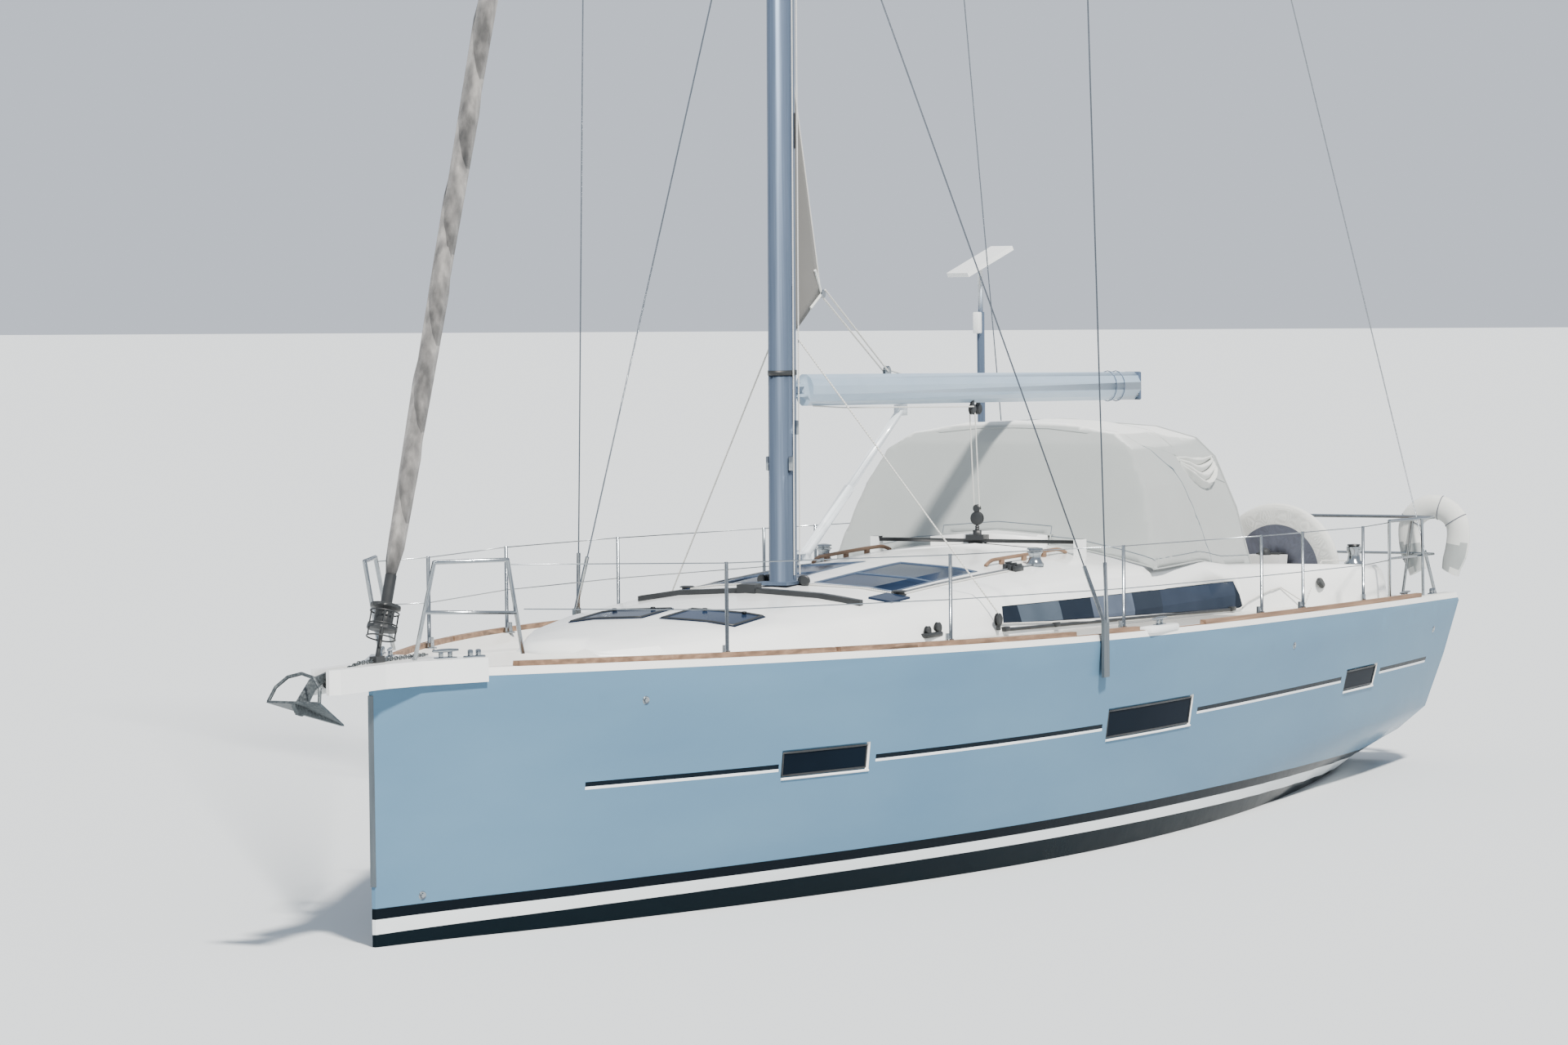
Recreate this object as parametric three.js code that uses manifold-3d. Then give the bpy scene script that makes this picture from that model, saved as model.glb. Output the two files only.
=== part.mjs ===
// A cruising sailing yacht afloat: hull, keel, rig, cockpit and deck gear.
// Millimetres. +X is forward, +Y is port, +Z is up. The origin is on the centreline, amidships, at the water.

import * as THREE from 'three';
import { mergeVertices } from 'three/addons/utils/BufferGeometryUtils.js';
import Module from 'manifold-3d';

const wasm = await Module();
wasm.setup();

// Driving dimensions
const GUNWALE = 65;
const DECK_CAMBER = 60;
const SEAT_GAP = 0.3;
const STANCHION_HEIGHT = 610;
const BOW_TIP_X = 7330;
const MAST = { x: 1330, foot: 1903, head: 20300, rake: 0.012, chord: 270, width: 170 };
const PIVOT_X = 1100;
const BOOM = { start: 980, end: -4800, height: 225, width: 150, startZ: 3255, endZ: 3148 };
const LOWER_SPREADER_Z = 7900;
const UPPER_SPREADER_Z = 13000;
const HOUNDS_Z = 17600;
const CHAINPLATE_X = 530;
const WHEEL = { x: -5200, y: 1080, z: 1660, radius: 490, rim: 14 };
const RUDDER_STOCK_X = -5750;
const PROPELLER = { x: -3560, z: -900, radius: 240 };
const HELM_SOLE_Z = 830;
const SEAT_Z = 1230;
const BULKHEAD_X = -3090;
const SEAT_END_X = -4850;
const FOOTWELL_HALF = 430;
const SEAT_HALF = 1000;
const HELM_HALF = 1620;
const HELM_SEAT_X = -5900;
const COMPANIONWAY_HALF = 330;
const LID_GAP = 5;
const HINGE_END_GAP = 16;

// Hull sections from bow to stern. sheer, chine and water are half breadths; top, bend, base and bottom are
// heights of the sheer, the chine, the waterline point and the keel line; full is the underbody's roundness.
const SECTIONS = [
  { x: 6770, sheer: 15, top: 1612, chine: 14, bend: 520, water: 12, base: 0, bottom: -60, full: 1.7 },
  { x: 6500, sheer: 172, top: 1611, chine: 140, bend: 520, water: 110, base: 0, bottom: -230, full: 1.7 },
  { x: 6100, sheer: 385, top: 1606, chine: 332, bend: 520, water: 272, base: 0, bottom: -340, full: 1.75 },
  { x: 5420, sheer: 725, top: 1589, chine: 655, bend: 522, water: 575, base: 0, bottom: -425, full: 1.8 },
  { x: 4100, sheer: 1283, top: 1557, chine: 1188, bend: 528, water: 1062, base: 0, bottom: -505, full: 1.9 },
  { x: 2700, sheer: 1718, top: 1525, chine: 1622, bend: 528, water: 1490, base: 0, bottom: -555, full: 2.0 },
  { x: 1350, sheer: 1999, top: 1494, chine: 1896, bend: 520, water: 1785, base: 0, bottom: -580, full: 2.1 },
  { x: 0, sheer: 2155, top: 1465, chine: 2030, bend: 500, water: 1940, base: 0, bottom: -580, full: 2.2 },
  { x: -1350, sheer: 2206, top: 1437, chine: 2062, bend: 465, water: 1965, base: 0, bottom: -560, full: 2.25 },
  { x: -2700, sheer: 2200, top: 1411, chine: 2044, bend: 447, water: 1880, base: 0, bottom: -490, full: 2.3 },
  { x: -4060, sheer: 2173, top: 1385, chine: 1982, bend: 440, water: 1690, base: 0, bottom: -360, full: 2.35 },
  { x: -5420, sheer: 2126, top: 1361, chine: 1895, bend: 440, water: 1420, base: 0, bottom: -190, full: 2.4 },
  { x: -6740, sheer: 2060, top: 1338, chine: 1762, bend: 458, water: 1130, base: 60, bottom: 10, full: 2.4 },
];

// Coachroof from its nose to the companionway: half breadth at deck and at the roof's edge, heights of the
// edge and of the crown
const ROOF = [
  { x: 4350, base: 300, edge: 240, edgeZ: 1640, crown: 1668 },
  { x: 4050, base: 640, edge: 540, edgeZ: 1668, crown: 1712 },
  { x: 3500, base: 900, edge: 800, edgeZ: 1705, crown: 1768 },
  { x: 2700, base: 1100, edge: 985, edgeZ: 1745, crown: 1830 },
  { x: 1330, base: 1270, edge: 1140, edgeZ: 1790, crown: 1902 },
  { x: 0, base: 1350, edge: 1225, edgeZ: 1830, crown: 1975 },
  { x: -1350, base: 1390, edge: 1280, edgeZ: 1855, crown: 2020 },
  { x: -3090, base: 1405, edge: 1305, edgeZ: 1850, crown: 2052 },
];
const ROOF_WALL = 45;

// Cockpit coaming: half breadths of its inner face, its outer foot and its outer edge, and its top height
const COAMING = [
  { x: BULKHEAD_X, inner: 1010, base: 1405, edge: 1305, top: 1850 },
  { x: -3650, inner: 1010, base: 1420, edge: 1350, top: 1785 },
  { x: -4200, inner: 1030, base: 1440, edge: 1370, top: 1758 },
  { x: -4600, inner: 1060, base: 1510, edge: 1440, top: 1742 },
  { x: -4950, inner: 1625, base: 1885, edge: 1855, top: 1725 },
  { x: -5500, inner: 1625, base: 1880, edge: 1850, top: 1695 },
  { x: -5580, inner: 1640, base: 1860, edge: 1800, top: 1640 },
];

const METAL = { color: 0xc9ced2, roughness: 0.25, metalness: 1 };
const WHITE = { color: 0xf2f3f0, roughness: 0.25, metalness: 0 };
const TEAK = { color: 0x9a6b45, roughness: 0.7, metalness: 0 };
const DARK_GLASS = { color: 0x101820, roughness: 0.08, metalness: 0 };
const BLACK = { color: 0x17191b, roughness: 0.5, metalness: 0 };
const WHITE_FABRIC = { color: 0xe9e9e4, roughness: 0.95, metalness: 0 };
const SILVER = { color: 0xa9b2bd, roughness: 0.4, metalness: 0.8 };
const IRON = { color: 0x4a4f52, roughness: 0.6, metalness: 0.7 };
const ANTIFOUL = { color: 0x16323c, roughness: 0.8, metalness: 0 };

const yacht = new THREE.Group();

// Solid tools
function toSolid(source) {
  const geometry = source.index ? source.clone() : source;
  geometry.deleteAttribute('normal');
  geometry.deleteAttribute('uv');
  const merged = mergeVertices(geometry, 1e-3);
  const vertProperties = new Float32Array(merged.attributes.position.array);
  const triVerts = new Uint32Array(merged.index.array);
  const body = new wasm.Manifold(new wasm.Mesh({ numProp: 3, vertProperties, triVerts }));
  if (body.volume() > 0) {
    return body;
  }
  for (let i = 0; i < triVerts.length; i += 3) {
    [triVerts[i], triVerts[i + 1]] = [triVerts[i + 1], triVerts[i]];
  }
  return new wasm.Manifold(new wasm.Mesh({ numProp: 3, vertProperties, triVerts }));
}

function toGeometry(body) {
  const mesh = body.getMesh();
  const geometry = new THREE.BufferGeometry();
  const positions = [];
  for (let i = 0; i < mesh.vertProperties.length; i += mesh.numProp) {
    positions.push(mesh.vertProperties[i], mesh.vertProperties[i + 1], mesh.vertProperties[i + 2]);
  }
  geometry.setAttribute('position', new THREE.Float32BufferAttribute(positions, 3));
  geometry.setIndex(Array.from(mesh.triVerts));
  return geometry;
}

function join(...bodies) {
  return bodies.reduce((total, body) => total.add(body));
}

function cut(body, ...tools) {
  return tools.reduce((total, tool) => total.subtract(tool), body);
}

function place(name, body, look) {
  const geometry = toGeometry(body.simplify(0.02));
  geometry.computeVertexNormals();
  const mesh = new THREE.Mesh(geometry, new THREE.MeshStandardMaterial(look));
  mesh.name = name;
  yacht.add(mesh);
}

function mirror(body) {
  return body.mirror([0, 1, 0]);
}

function placePair(name, body, look) {
  place(name + '_port', body, look);
  place(name + '_starboard', mirror(body), look);
}

// Shapes
function box(x0, x1, y0, y1, z0, z1) {
  const geometry = new THREE.BoxGeometry(Math.abs(x1 - x0), Math.abs(y1 - y0), Math.abs(z1 - z0));
  geometry.translate((x0 + x1) / 2, (y0 + y1) / 2, (z0 + z1) / 2);
  return toSolid(geometry);
}

function vector(p) {
  return new THREE.Vector3(...p);
}

// A round rod between two points, tapered when a second radius is given
function rod(from, to, radius, sides = 8, endRadius = radius) {
  const a = vector(from);
  const b = vector(to);
  const geometry = new THREE.CylinderGeometry(endRadius, radius, a.distanceTo(b), sides);
  const up = new THREE.Vector3(0, 1, 0);
  const turn = new THREE.Quaternion().setFromUnitVectors(up, b.clone().sub(a).normalize());
  geometry.applyQuaternion(turn);
  geometry.translate((a.x + b.x) / 2, (a.y + b.y) / 2, (a.z + b.z) / 2);
  return toSolid(geometry);
}

// A turned body on one straight axis: points along it, each with its radius
function turned(stations, sides) {
  const first = vector(stations[0].at);
  const axis = vector(stations[stations.length - 1].at).sub(first).normalize();
  const side = new THREE.Vector3(0, 1, 0).cross(axis).normalize();
  const other = axis.clone().cross(side);
  return loft(stations.map(({ at, radius }) => {
    const ring = [];
    for (let i = 0; i < sides; i += 1) {
      const u = (i * Math.PI * 2) / sides;
      const point = vector(at).addScaledVector(side, radius * Math.cos(u))
        .addScaledVector(other, radius * Math.sin(u));
      ring.push(point.toArray());
    }
    return ring;
  }));
}

// Rods end to end through the points, with a ball at each bend
function bentRod(points, radius, sides = 8) {
  const pieces = [];
  for (let i = 0; i + 1 < points.length; i += 1) {
    pieces.push(rod(points[i], points[i + 1], radius, sides));
    if (i > 0) {
      const ball = new THREE.SphereGeometry(radius * 1.02, sides, 4);
      ball.translate(...points[i]);
      pieces.push(toSolid(ball));
    }
  }
  return join(...pieces);
}

// A flat outline given by two coordinates, pushed along the third
function slab(outline, along, low, high) {
  const shape = new THREE.Shape(outline.map(([a, b]) => new THREE.Vector2(a, b)));
  const depth = high - low;
  const geometry = new THREE.ExtrudeGeometry(shape, { depth, bevelEnabled: false, curveSegments: 8 });
  geometry.translate(0, 0, low);
  const frames = {
    z: new THREE.Matrix4(),
    y: new THREE.Matrix4().set(1, 0, 0, 0, 0, 0, 1, 0, 0, 1, 0, 0, 0, 0, 0, 1),
    x: new THREE.Matrix4().set(0, 0, 1, 0, 1, 0, 0, 0, 0, 1, 0, 0, 0, 0, 0, 1),
  };
  geometry.applyMatrix4(frames[along]);
  return toSolid(geometry);
}

// The triangles that fill one flat ring, each with its corners in the ring's order
function ringFaces(ring) {
  const normal = new THREE.Vector3();
  for (let i = 1; i + 1 < ring.length; i += 1) {
    const a = vector(ring[i]).sub(vector(ring[0]));
    const b = vector(ring[i + 1]).sub(vector(ring[0]));
    normal.add(a.cross(b));
  }
  const size = normal.toArray().map(Math.abs);
  const drop = size.indexOf(Math.max(...size));
  const [u, v] = [0, 1, 2].filter((axis) => axis !== drop);
  const contour = ring.map((point) => new THREE.Vector2(point[u], point[v]));
  return THREE.ShapeUtils.triangulateShape(contour, []).map((face) => face.sort((a, b) => a - b));
}

// A skin over rings of equal point counts, closed by flat ends
function loft(rings) {
  const count = rings[0].length;
  const positions = rings.flat(2);
  const index = [];
  for (let r = 0; r + 1 < rings.length; r += 1) {
    for (let i = 0; i < count; i += 1) {
      const a = r * count + i;
      const b = r * count + ((i + 1) % count);
      index.push(a, b, b + count, a, b + count, a + count);
    }
  }
  const last = (rings.length - 1) * count;
  for (const [a, b, c] of ringFaces(rings[0])) {
    index.push(a, c, b);
  }
  for (const [a, b, c] of ringFaces(rings[rings.length - 1])) {
    index.push(last + a, last + b, last + c);
  }
  const geometry = new THREE.BufferGeometry();
  geometry.setAttribute('position', new THREE.Float32BufferAttribute(positions, 3));
  geometry.setIndex(index);
  return toSolid(geometry);
}

// A smooth value between the rows of a table, which run from bow to stern
function blendRows(rows, x, key) {
  let i = 0;
  while (i + 2 < rows.length && x < rows[i + 1].x) {
    i += 1;
  }
  const a = rows[Math.max(i - 1, 0)];
  const b = rows[i];
  const c = rows[i + 1];
  const d = rows[Math.min(i + 2, rows.length - 1)];
  const t = (x - b.x) / (c.x - b.x);
  const slopeB = i > 0 ? ((c[key] - a[key]) / (c.x - a.x)) * (c.x - b.x) : c[key] - b[key];
  const atEnd = i + 2 < rows.length;
  const slopeC = atEnd ? ((d[key] - b[key]) / (d.x - b.x)) * (c.x - b.x) : c[key] - b[key];
  const t2 = t * t;
  const t3 = t2 * t;
  return (2 * t3 - 3 * t2 + 1) * b[key] + (t3 - 2 * t2 + t) * slopeB
    + (3 * t2 - 2 * t3) * c[key] + (t3 - t2) * slopeC;
}

function sheerHalf(x) {
  return blendRows(SECTIONS, x, 'sheer');
}

function sheerZ(x) {
  return blendRows(SECTIONS, x, 'top');
}

function deckZ(x, y) {
  const inner = Math.max(sheerHalf(x) - 170, 40);
  const rise = DECK_CAMBER * Math.min(1, sheerHalf(x) / 1500);
  return sheerZ(x) + 10 + rise * (1 - (Math.min(Math.abs(y), inner) / inner) ** 2);
}

function linear(rows, x, key) {
  let i = 0;
  while (i + 2 < rows.length && x < rows[i + 1].x) {
    i += 1;
  }
  const t = (x - rows[i].x) / (rows[i + 1].x - rows[i].x);
  return rows[i][key] + t * (rows[i + 1][key] - rows[i][key]);
}

// The port half of one hull section from the deck's middle down to the keel line, grown outwards by some
// millimetres
function hullHalf(x, grow) {
  const sheer = sheerHalf(x);
  const top = sheerZ(x);
  const inset = Math.min(170, sheer * 0.8);
  const lip = Math.min(130, sheer * 0.6);
  const chine = blendRows(SECTIONS, x, 'chine');
  const bend = blendRows(SECTIONS, x, 'bend');
  const water = blendRows(SECTIONS, x, 'water');
  const base = blendRows(SECTIONS, x, 'base');
  const bottom = blendRows(SECTIONS, x, 'bottom');
  const power = 2 / blendRows(SECTIONS, x, 'full');
  const half = [
    [(sheer - inset) * 0.5, deckZ(x, (sheer - inset) * 0.5) + grow],
    [sheer - inset - grow * 0.6, top + 10 + grow],
    [sheer - lip - grow * 0.8, top + GUNWALE + grow],
    [sheer - Math.min(20, sheer * 0.3) + grow * 0.7, top + GUNWALE + grow * 0.7],
    [sheer + grow, top],
    [sheer + (chine - sheer) * 0.45 + grow, top + (bend - top) * 0.5],
    [chine + grow, bend],
    [water + (chine - water) * 0.62 + grow, base + (bend - base) * 0.5],
    [water + grow, base],
  ];
  for (const angle of [18, 38, 60, 78]) {
    const u = THREE.MathUtils.degToRad(angle);
    half.push([water * Math.cos(u) ** power + grow, base + (bottom - base) * Math.sin(u) ** power]);
  }
  return { half, middle: deckZ(x, 0) + grow, keel: bottom - grow };
}

const HULL_STATIONS = [6770, 6690, 6600, 6500, 6350, 6100, 5780, 5420, 4980, 4540, 4100, 3640, 3180, 2700, 2250,
  1800, 1350, 900, 450, 0, -450, -900, -1350, -1800, -2250, -2700, -3380, -4060, -4740, -5420, -6080, -6740];

// The whole skin; one drawn inwards leaves out the narrow stem
function hullSkin(grow) {
  const stations = grow < 0 ? HULL_STATIONS.slice(4) : HULL_STATIONS;
  const rings = stations.map((station, i) => {
    const { half, middle, keel } = hullHalf(station, grow);
    const ends = { 0: grow, [stations.length - 1]: -grow };
    const x = station + (ends[i] ?? 0);
    const port = half.map(([y, z]) => [x, y, z]);
    const starboard = half.map(([y, z]) => [x, -y, z]).reverse();
    return [[x, 0, middle], ...port, [x, 0, keel], ...starboard];
  });
  return loft(rings);
}

const hullOuter = hullSkin(0);
const hullClear = hullSkin(SEAT_GAP);
const roofClear = roofSkin(-SEAT_GAP, 4350, BULKHEAD_X);

// The coachroof's outer or inner skin
function roofSkin(shrink, from, to) {
  const stations = [from, ...ROOF.map((row) => row.x).filter((x) => x < from && x > to), to];
  const rings = stations.map((x) => {
    const base = linear(ROOF, x, 'base') - shrink;
    const edge = linear(ROOF, x, 'edge') - shrink;
    const edgeZ = linear(ROOF, x, 'edgeZ') - shrink;
    const crown = linear(ROOF, x, 'crown') - shrink;
    const shoulder = edgeZ + (crown - edgeZ) * 0.72;
    const half = [[base + 40, 1150], [base, 1560], [edge + 12, edgeZ - 45], [edge - 40, edgeZ],
      [edge * 0.5, shoulder]];
    const port = half.map(([y, z]) => [x, y, z]);
    const starboard = half.map(([y, z]) => [x, -y, z]).reverse();
    return [...port, [x, 0, crown], ...starboard];
  });
  return loft(rings);
}

function coamingSkin(grow) {
  const ringAt = (row) => [
    [row.x, row.inner - grow, 1150],
    [row.x, row.inner - grow, row.top - 30 + grow],
    [row.x, row.inner + 30, row.top + grow],
    [row.x, row.edge - 40 + grow, row.top + grow],
    [row.x, row.edge + 12 + grow, row.top - 45 + grow],
    [row.x, row.base + grow, 1560],
    [row.x, row.base + 40 + grow, 1150],
  ];
  return loft(COAMING.map(ringAt));
}

// Hull windows: fore and aft ends and heights, measured to the glass
const HULL_WINDOWS = [
  { name: 'forward', front: 3860, back: 3120, low: 828, high: 978 },
  { name: 'middle', front: 370, back: -940, low: 806, high: 993 },
  { name: 'aft', front: -4150, back: -4850, low: 795, high: 938 },
];

function windowBand(row, spread, outer, inner) {
  const frame = box(row.back - spread, row.front + spread, 500, 2400, row.low - spread, row.high + spread);
  return cut(frame.intersect(hullSkin(outer)), hullSkin(inner));
}

const LOCKER = [[6060, 190], [6060, -190], [5540, -350], [5540, 350]];
const SEAT_LOCKER = { front: -3250, back: -4650, inner: 480, outer: 950 };

function makeHull() {
  const cabinHalf = (x) => Math.min(linear(ROOF, x, 'base') - 140, sheerHalf(x) - 260);
  const cabinStations = [4050, 3500, 2700, 1330, 0, -1350, BULKHEAD_X + 150];
  const cabinOutline = [
    ...cabinStations.map((x) => [x, cabinHalf(x)]),
    ...cabinStations.map((x) => [x, -cabinHalf(x)]).reverse(),
  ];
  const front = BULKHEAD_X - 10;
  const cabin = slab(cabinOutline, 'z', 180, 2200);
  const footwell = box(front, SEAT_END_X - 40, -FOOTWELL_HALF, FOOTWELL_HALF, HELM_SOLE_Z, 2200);
  const seats = box(front, SEAT_END_X - 10, -SEAT_HALF, SEAT_HALF, SEAT_Z, 2200);
  const helm = box(SEAT_END_X, HELM_SEAT_X, -HELM_HALF, HELM_HALF, HELM_SOLE_Z, 2200);
  const walkThrough = box(HELM_SEAT_X + 10, -6800, -FOOTWELL_HALF, FOOTWELL_HALF, HELM_SOLE_Z, 2200);
  const helmSeat = box(HELM_SEAT_X + 10, -6560, -1500, 1500, SEAT_Z + 20, 2200);
  const companionway = box(
    BULKHEAD_X + 200, BULKHEAD_X - 60, -COMPANIONWAY_HALF, COMPANIONWAY_HALF, 1090, 2200);
  const platformRecess = box(-6683, -6900, -1010, 1010, 215, 1115);
  const rudderTube = rod([RUDDER_STOCK_X, 0, -600], [RUDDER_STOCK_X, 0, 200], 52, 32);
  const lockerWell = slab(LOCKER, 'z', 1150, 2000);
  const { front: lockerFront, back, inner, outer } = SEAT_LOCKER;
  const seatLocker = box(lockerFront, back, inner, outer, SEAT_Z - 380, 2200);
  let hull = cut(hullOuter, cabin, footwell, seats, helm, walkThrough, helmSeat, companionway, platformRecess,
    rudderTube, lockerWell, seatLocker, mirror(seatLocker));
  for (const row of HULL_WINDOWS) {
    const recess = windowBand(row, 18, 60, -24);
    hull = cut(hull, recess, mirror(recess));
    placePair('hull_window_' + row.name, windowBand(row, 0, -10, -23.7), DARK_GLASS);
  }
  place('hull', hull, WHITE);
}

// The coachroof and the cockpit coamings are one moulding
const SKYLIGHT = { front: 1140, back: -250, inner: 130, outer: 770 };
const FORE_HATCH = { front: 3260, back: 2800, inner: 60, outer: 640 };
const HATCH_SLOT = { front: -2400, half: 335 };
const SEA_HOOD = { front: -1925, back: -2395, half: 430, wall: 20 };
const CABIN_WINDOW = [[390, 1714], [480, 1594], [-3640, 1452], [-3560, 1668]];

function makeDeckMoulding() {
  const outer = roofSkin(0, 4350, BULKHEAD_X);
  const inner = roofSkin(ROOF_WALL, 4150, BULKHEAD_X + 50);
  const coaming = coamingSkin(0);
  const doorway = box(BULKHEAD_X + 200, BULKHEAD_X - 100, -COMPANIONWAY_HALF, COMPANIONWAY_HALF, 1000, 2200);
  const slot = box(HATCH_SLOT.front, BULKHEAD_X - 60, -HATCH_SLOT.half, HATCH_SLOT.half, 1800, 2200);
  const { front, back, half, wall } = SEA_HOOD;
  const garage = cut(box(back, front, -half, half, 1900, 2200).intersect(roofSkin(-72, 4350, BULKHEAD_X)),
    roofSkin(ROOF_WALL / 2, 4350, BULKHEAD_X),
    box(back - 20, front - wall, -half + wall, half - wall, 1900, 2200)
      .intersect(roofSkin(-52, 4350, BULKHEAD_X)));
  const shell = join(cut(outer, inner), coaming, mirror(coaming));
  const windowTool = slab(CABIN_WINDOW, 'y', 900, 1500);
  const windowCut = cut(windowTool, coaming.translate([0, -30, 0]));
  const lightCut = box(SKYLIGHT.back, SKYLIGHT.front, SKYLIGHT.inner, SKYLIGHT.outer, 1700, 2200);
  const hatchCut = box(FORE_HATCH.back, FORE_HATCH.front, FORE_HATCH.inner, FORE_HATCH.outer, 1650, 2200);
  const pane = paneOf(slab(paneOutline(4.3), 'y', 900, 1500), coaming);
  let moulding = cut(shell, hullClear, doorway, slot, windowCut, mirror(windowCut), lightCut, mirror(lightCut), hatchCut,
    mirror(hatchCut));
  moulding = join(moulding, garage);
  place('deck_moulding', moulding, WHITE);
  placePair('cabin_window', pane, DARK_GLASS);
  const lightPane = cut(
    shrunk(SKYLIGHT, 0.4).intersect(roofSkin(4, 4350, BULKHEAD_X)), roofSkin(16, 4350, BULKHEAD_X));
  placePair('skylight', lightPane, DARK_GLASS);
  const lid = cut(
    shrunk(FORE_HATCH, 8, 0.8).intersect(roofSkin(-6, 4350, BULKHEAD_X)), roofSkin(16, 4350, BULKHEAD_X));
  placePair('fore_hatch', lid, DARK_GLASS);
}

function shrunk(row, gap, frontGap = gap) {
  return box(row.back + gap, row.front - frontGap, row.inner + gap, row.outer - gap, 1650, 2200);
}

// The window's outline, drawn in by the gap round its glass
function paneOutline(gap) {
  const [frontTop, frontLow, backLow, backTop] = CABIN_WINDOW;
  return [
    [frontTop[0] - gap, frontTop[1] - gap],
    [frontLow[0] - gap, frontLow[1] + gap],
    [backLow[0] + gap, backLow[1] + gap],
    [backTop[0] + gap, backTop[1] - gap],
  ];
}

// The side window's glass follows the cabin side, then the coaming's outside
function paneOf(tool, coaming) {
  const skinOuter = join(roofSkin(4, 4350, BULKHEAD_X), coaming.translate([0, -4, 0]));
  const skinInner = join(roofSkin(16, 4350, BULKHEAD_X), coaming.translate([0, -16, 0]));
  return cut(tool.intersect(skinOuter), skinInner);
}

// Bow: moulding over the stem, stem plate, anchor on its roller and the locker's lid
const ROLLER = { x: 7215, z: 1648, radius: 32 };

function makeBow() {
  const plan = [[6080, 425], [6300, 312], [6500, 208], [6790, 125], [BOW_TIP_X - 60, 105], [BOW_TIP_X, 62]];
  const outline = [...plan, ...plan.map(([x, y]) => [x, -y]).reverse()];
  const slot = box(6930, 7400, -40, 40, 1500, 1800);
  const rollerSeat = rod([ROLLER.x, -60, ROLLER.z], [ROLLER.x, 60, ROLLER.z], 12, 12);
  place('bow_moulding', cut(slab(outline, 'z', 1585, 1735), hullClear, slot, rollerSeat), WHITE);
  const wheel = rod([ROLLER.x, -36, ROLLER.z], [ROLLER.x, 36, ROLLER.z], ROLLER.radius, 16);
  const axle = rod([ROLLER.x, -55, ROLLER.z], [ROLLER.x, 55, ROLLER.z], 11.5, 12);
  place('bow_roller', join(wheel, axle), BLACK);
  place('stem_plate', cut(box(6700, 6778, -17, 17, 370, 1540), hullClear), METAL);

  const shankTop = ROLLER.z + ROLLER.radius + 42;
  const shankLow = ROLLER.z + ROLLER.radius + 0.4;
  const shank = slab([[6960, shankLow], [6960, shankTop - 8], [7250, shankTop], [7440, 1690], [7600, 1560],
    [7600, 1490], [7540, 1475], [7400, 1620], [7260, shankLow]], 'y', -9, 9);
  const blade = loft([
    [[7080, 0, 1378], [7080, 0, 1390], [7082, 4, 1390], [7082, 4, 1378]],
    [[7640, -185, 1560], [7630, -185, 1574], [7630, 185, 1574], [7640, 185, 1560]],
  ]);
  const ridge = slab([[7090, 1380], [7600, 1500], [7640, 1560], [7600, 1565]], 'y', -14, 14);
  const hoopPoints = [];
  for (const angle of [0, 30, 60, 90, 120, 150, 180]) {
    const u = THREE.MathUtils.degToRad(angle);
    hoopPoints.push([7625 - 90 * Math.sin(u), 180 * Math.cos(u), 1566 + 165 * Math.sin(u)]);
  }
  const hoop = bentRod(hoopPoints, 11, 6);
  place('anchor', join(shank, blade, ridge, hoop), IRON);

  const [front, , back] = LOCKER;
  const inset = [[front[0] - LID_GAP, front[1] - LID_GAP], [front[0] - LID_GAP, -front[1] + LID_GAP],
    [back[0] + 0.8, back[1] + HINGE_END_GAP], [back[0] + 0.8, -back[1] - HINGE_END_GAP]];
  const lid = cut(slab(inset, 'z', 1500, 1800).intersect(hullOuter), hullSkin(-18));
  place('anchor_locker_lid', lid, WHITE);
}

// Keel with its bulb, rudder, saildrive leg and propeller
function foilRing(front, back, z, thickness) {
  const chord = front - back;
  const shape = [[1, 0], [0.93, 0.55], [0.78, 0.95], [0.55, 0.9], [0.28, 0.5], [0, 0.03]];
  const port = shape.map(([t, y]) => [back + chord * t, (y * thickness) / 2, z]);
  const starboard = shape.slice(1).map(([t, y]) => [back + chord * t, (-y * thickness) / 2, z]).reverse();
  return [...port, ...starboard];
}

function makeUnderbody() {
  const fin = loft([foilRing(760, -760, -300, 190), foilRing(560, -640, -2060, 150)]);
  const profile = [[0, 0], [60, 90], [190, 200], [205, 500], [175, 1050], [95, 1620], [0, 1950]];
  const bulb = new THREE.LatheGeometry(profile.map(([r, t]) => new THREE.Vector2(r, t)), 14);
  bulb.rotateZ(Math.PI / 2);
  bulb.translate(780, 0, -2030);
  place('keel', cut(join(fin, toSolid(bulb)), hullClear), ANTIFOUL);

  const stock = RUDDER_STOCK_X;
  const blade = loft([
    foilRing(stock + 190, stock - 560, -245, 120), foilRing(stock + 150, stock - 300, -1950, 70)]);
  place('rudder', join(blade, rod([stock, 0, -400], [stock, 0, 120], 51.3, 32)), ANTIFOUL);

  const { x, z, radius } = PROPELLER;
  const leg = loft([foilRing(x + 420, x + 120, -300, 110), foilRing(x + 400, x + 150, z + 20, 90)]);
  const pod = rod([x + 470, 0, z], [x + 60, 0, z], 48, 12, 60);
  const nose = new THREE.SphereGeometry(48, 12, 6);
  nose.translate(x + 470, 0, z);
  place('saildrive', cut(join(leg, pod, toSolid(nose)), hullClear), SILVER);
  const hub = rod([x - 55, 0, z], [x + 59.4, 0, z], 30, 12, 55);
  const blades = [0, 120, 240].map((angle) => (
    propellerBlade(radius).rotate([angle, 0, 0]).translate([x, 0, z])));
  place('propeller', join(hub, ...blades), SILVER);
}

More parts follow.
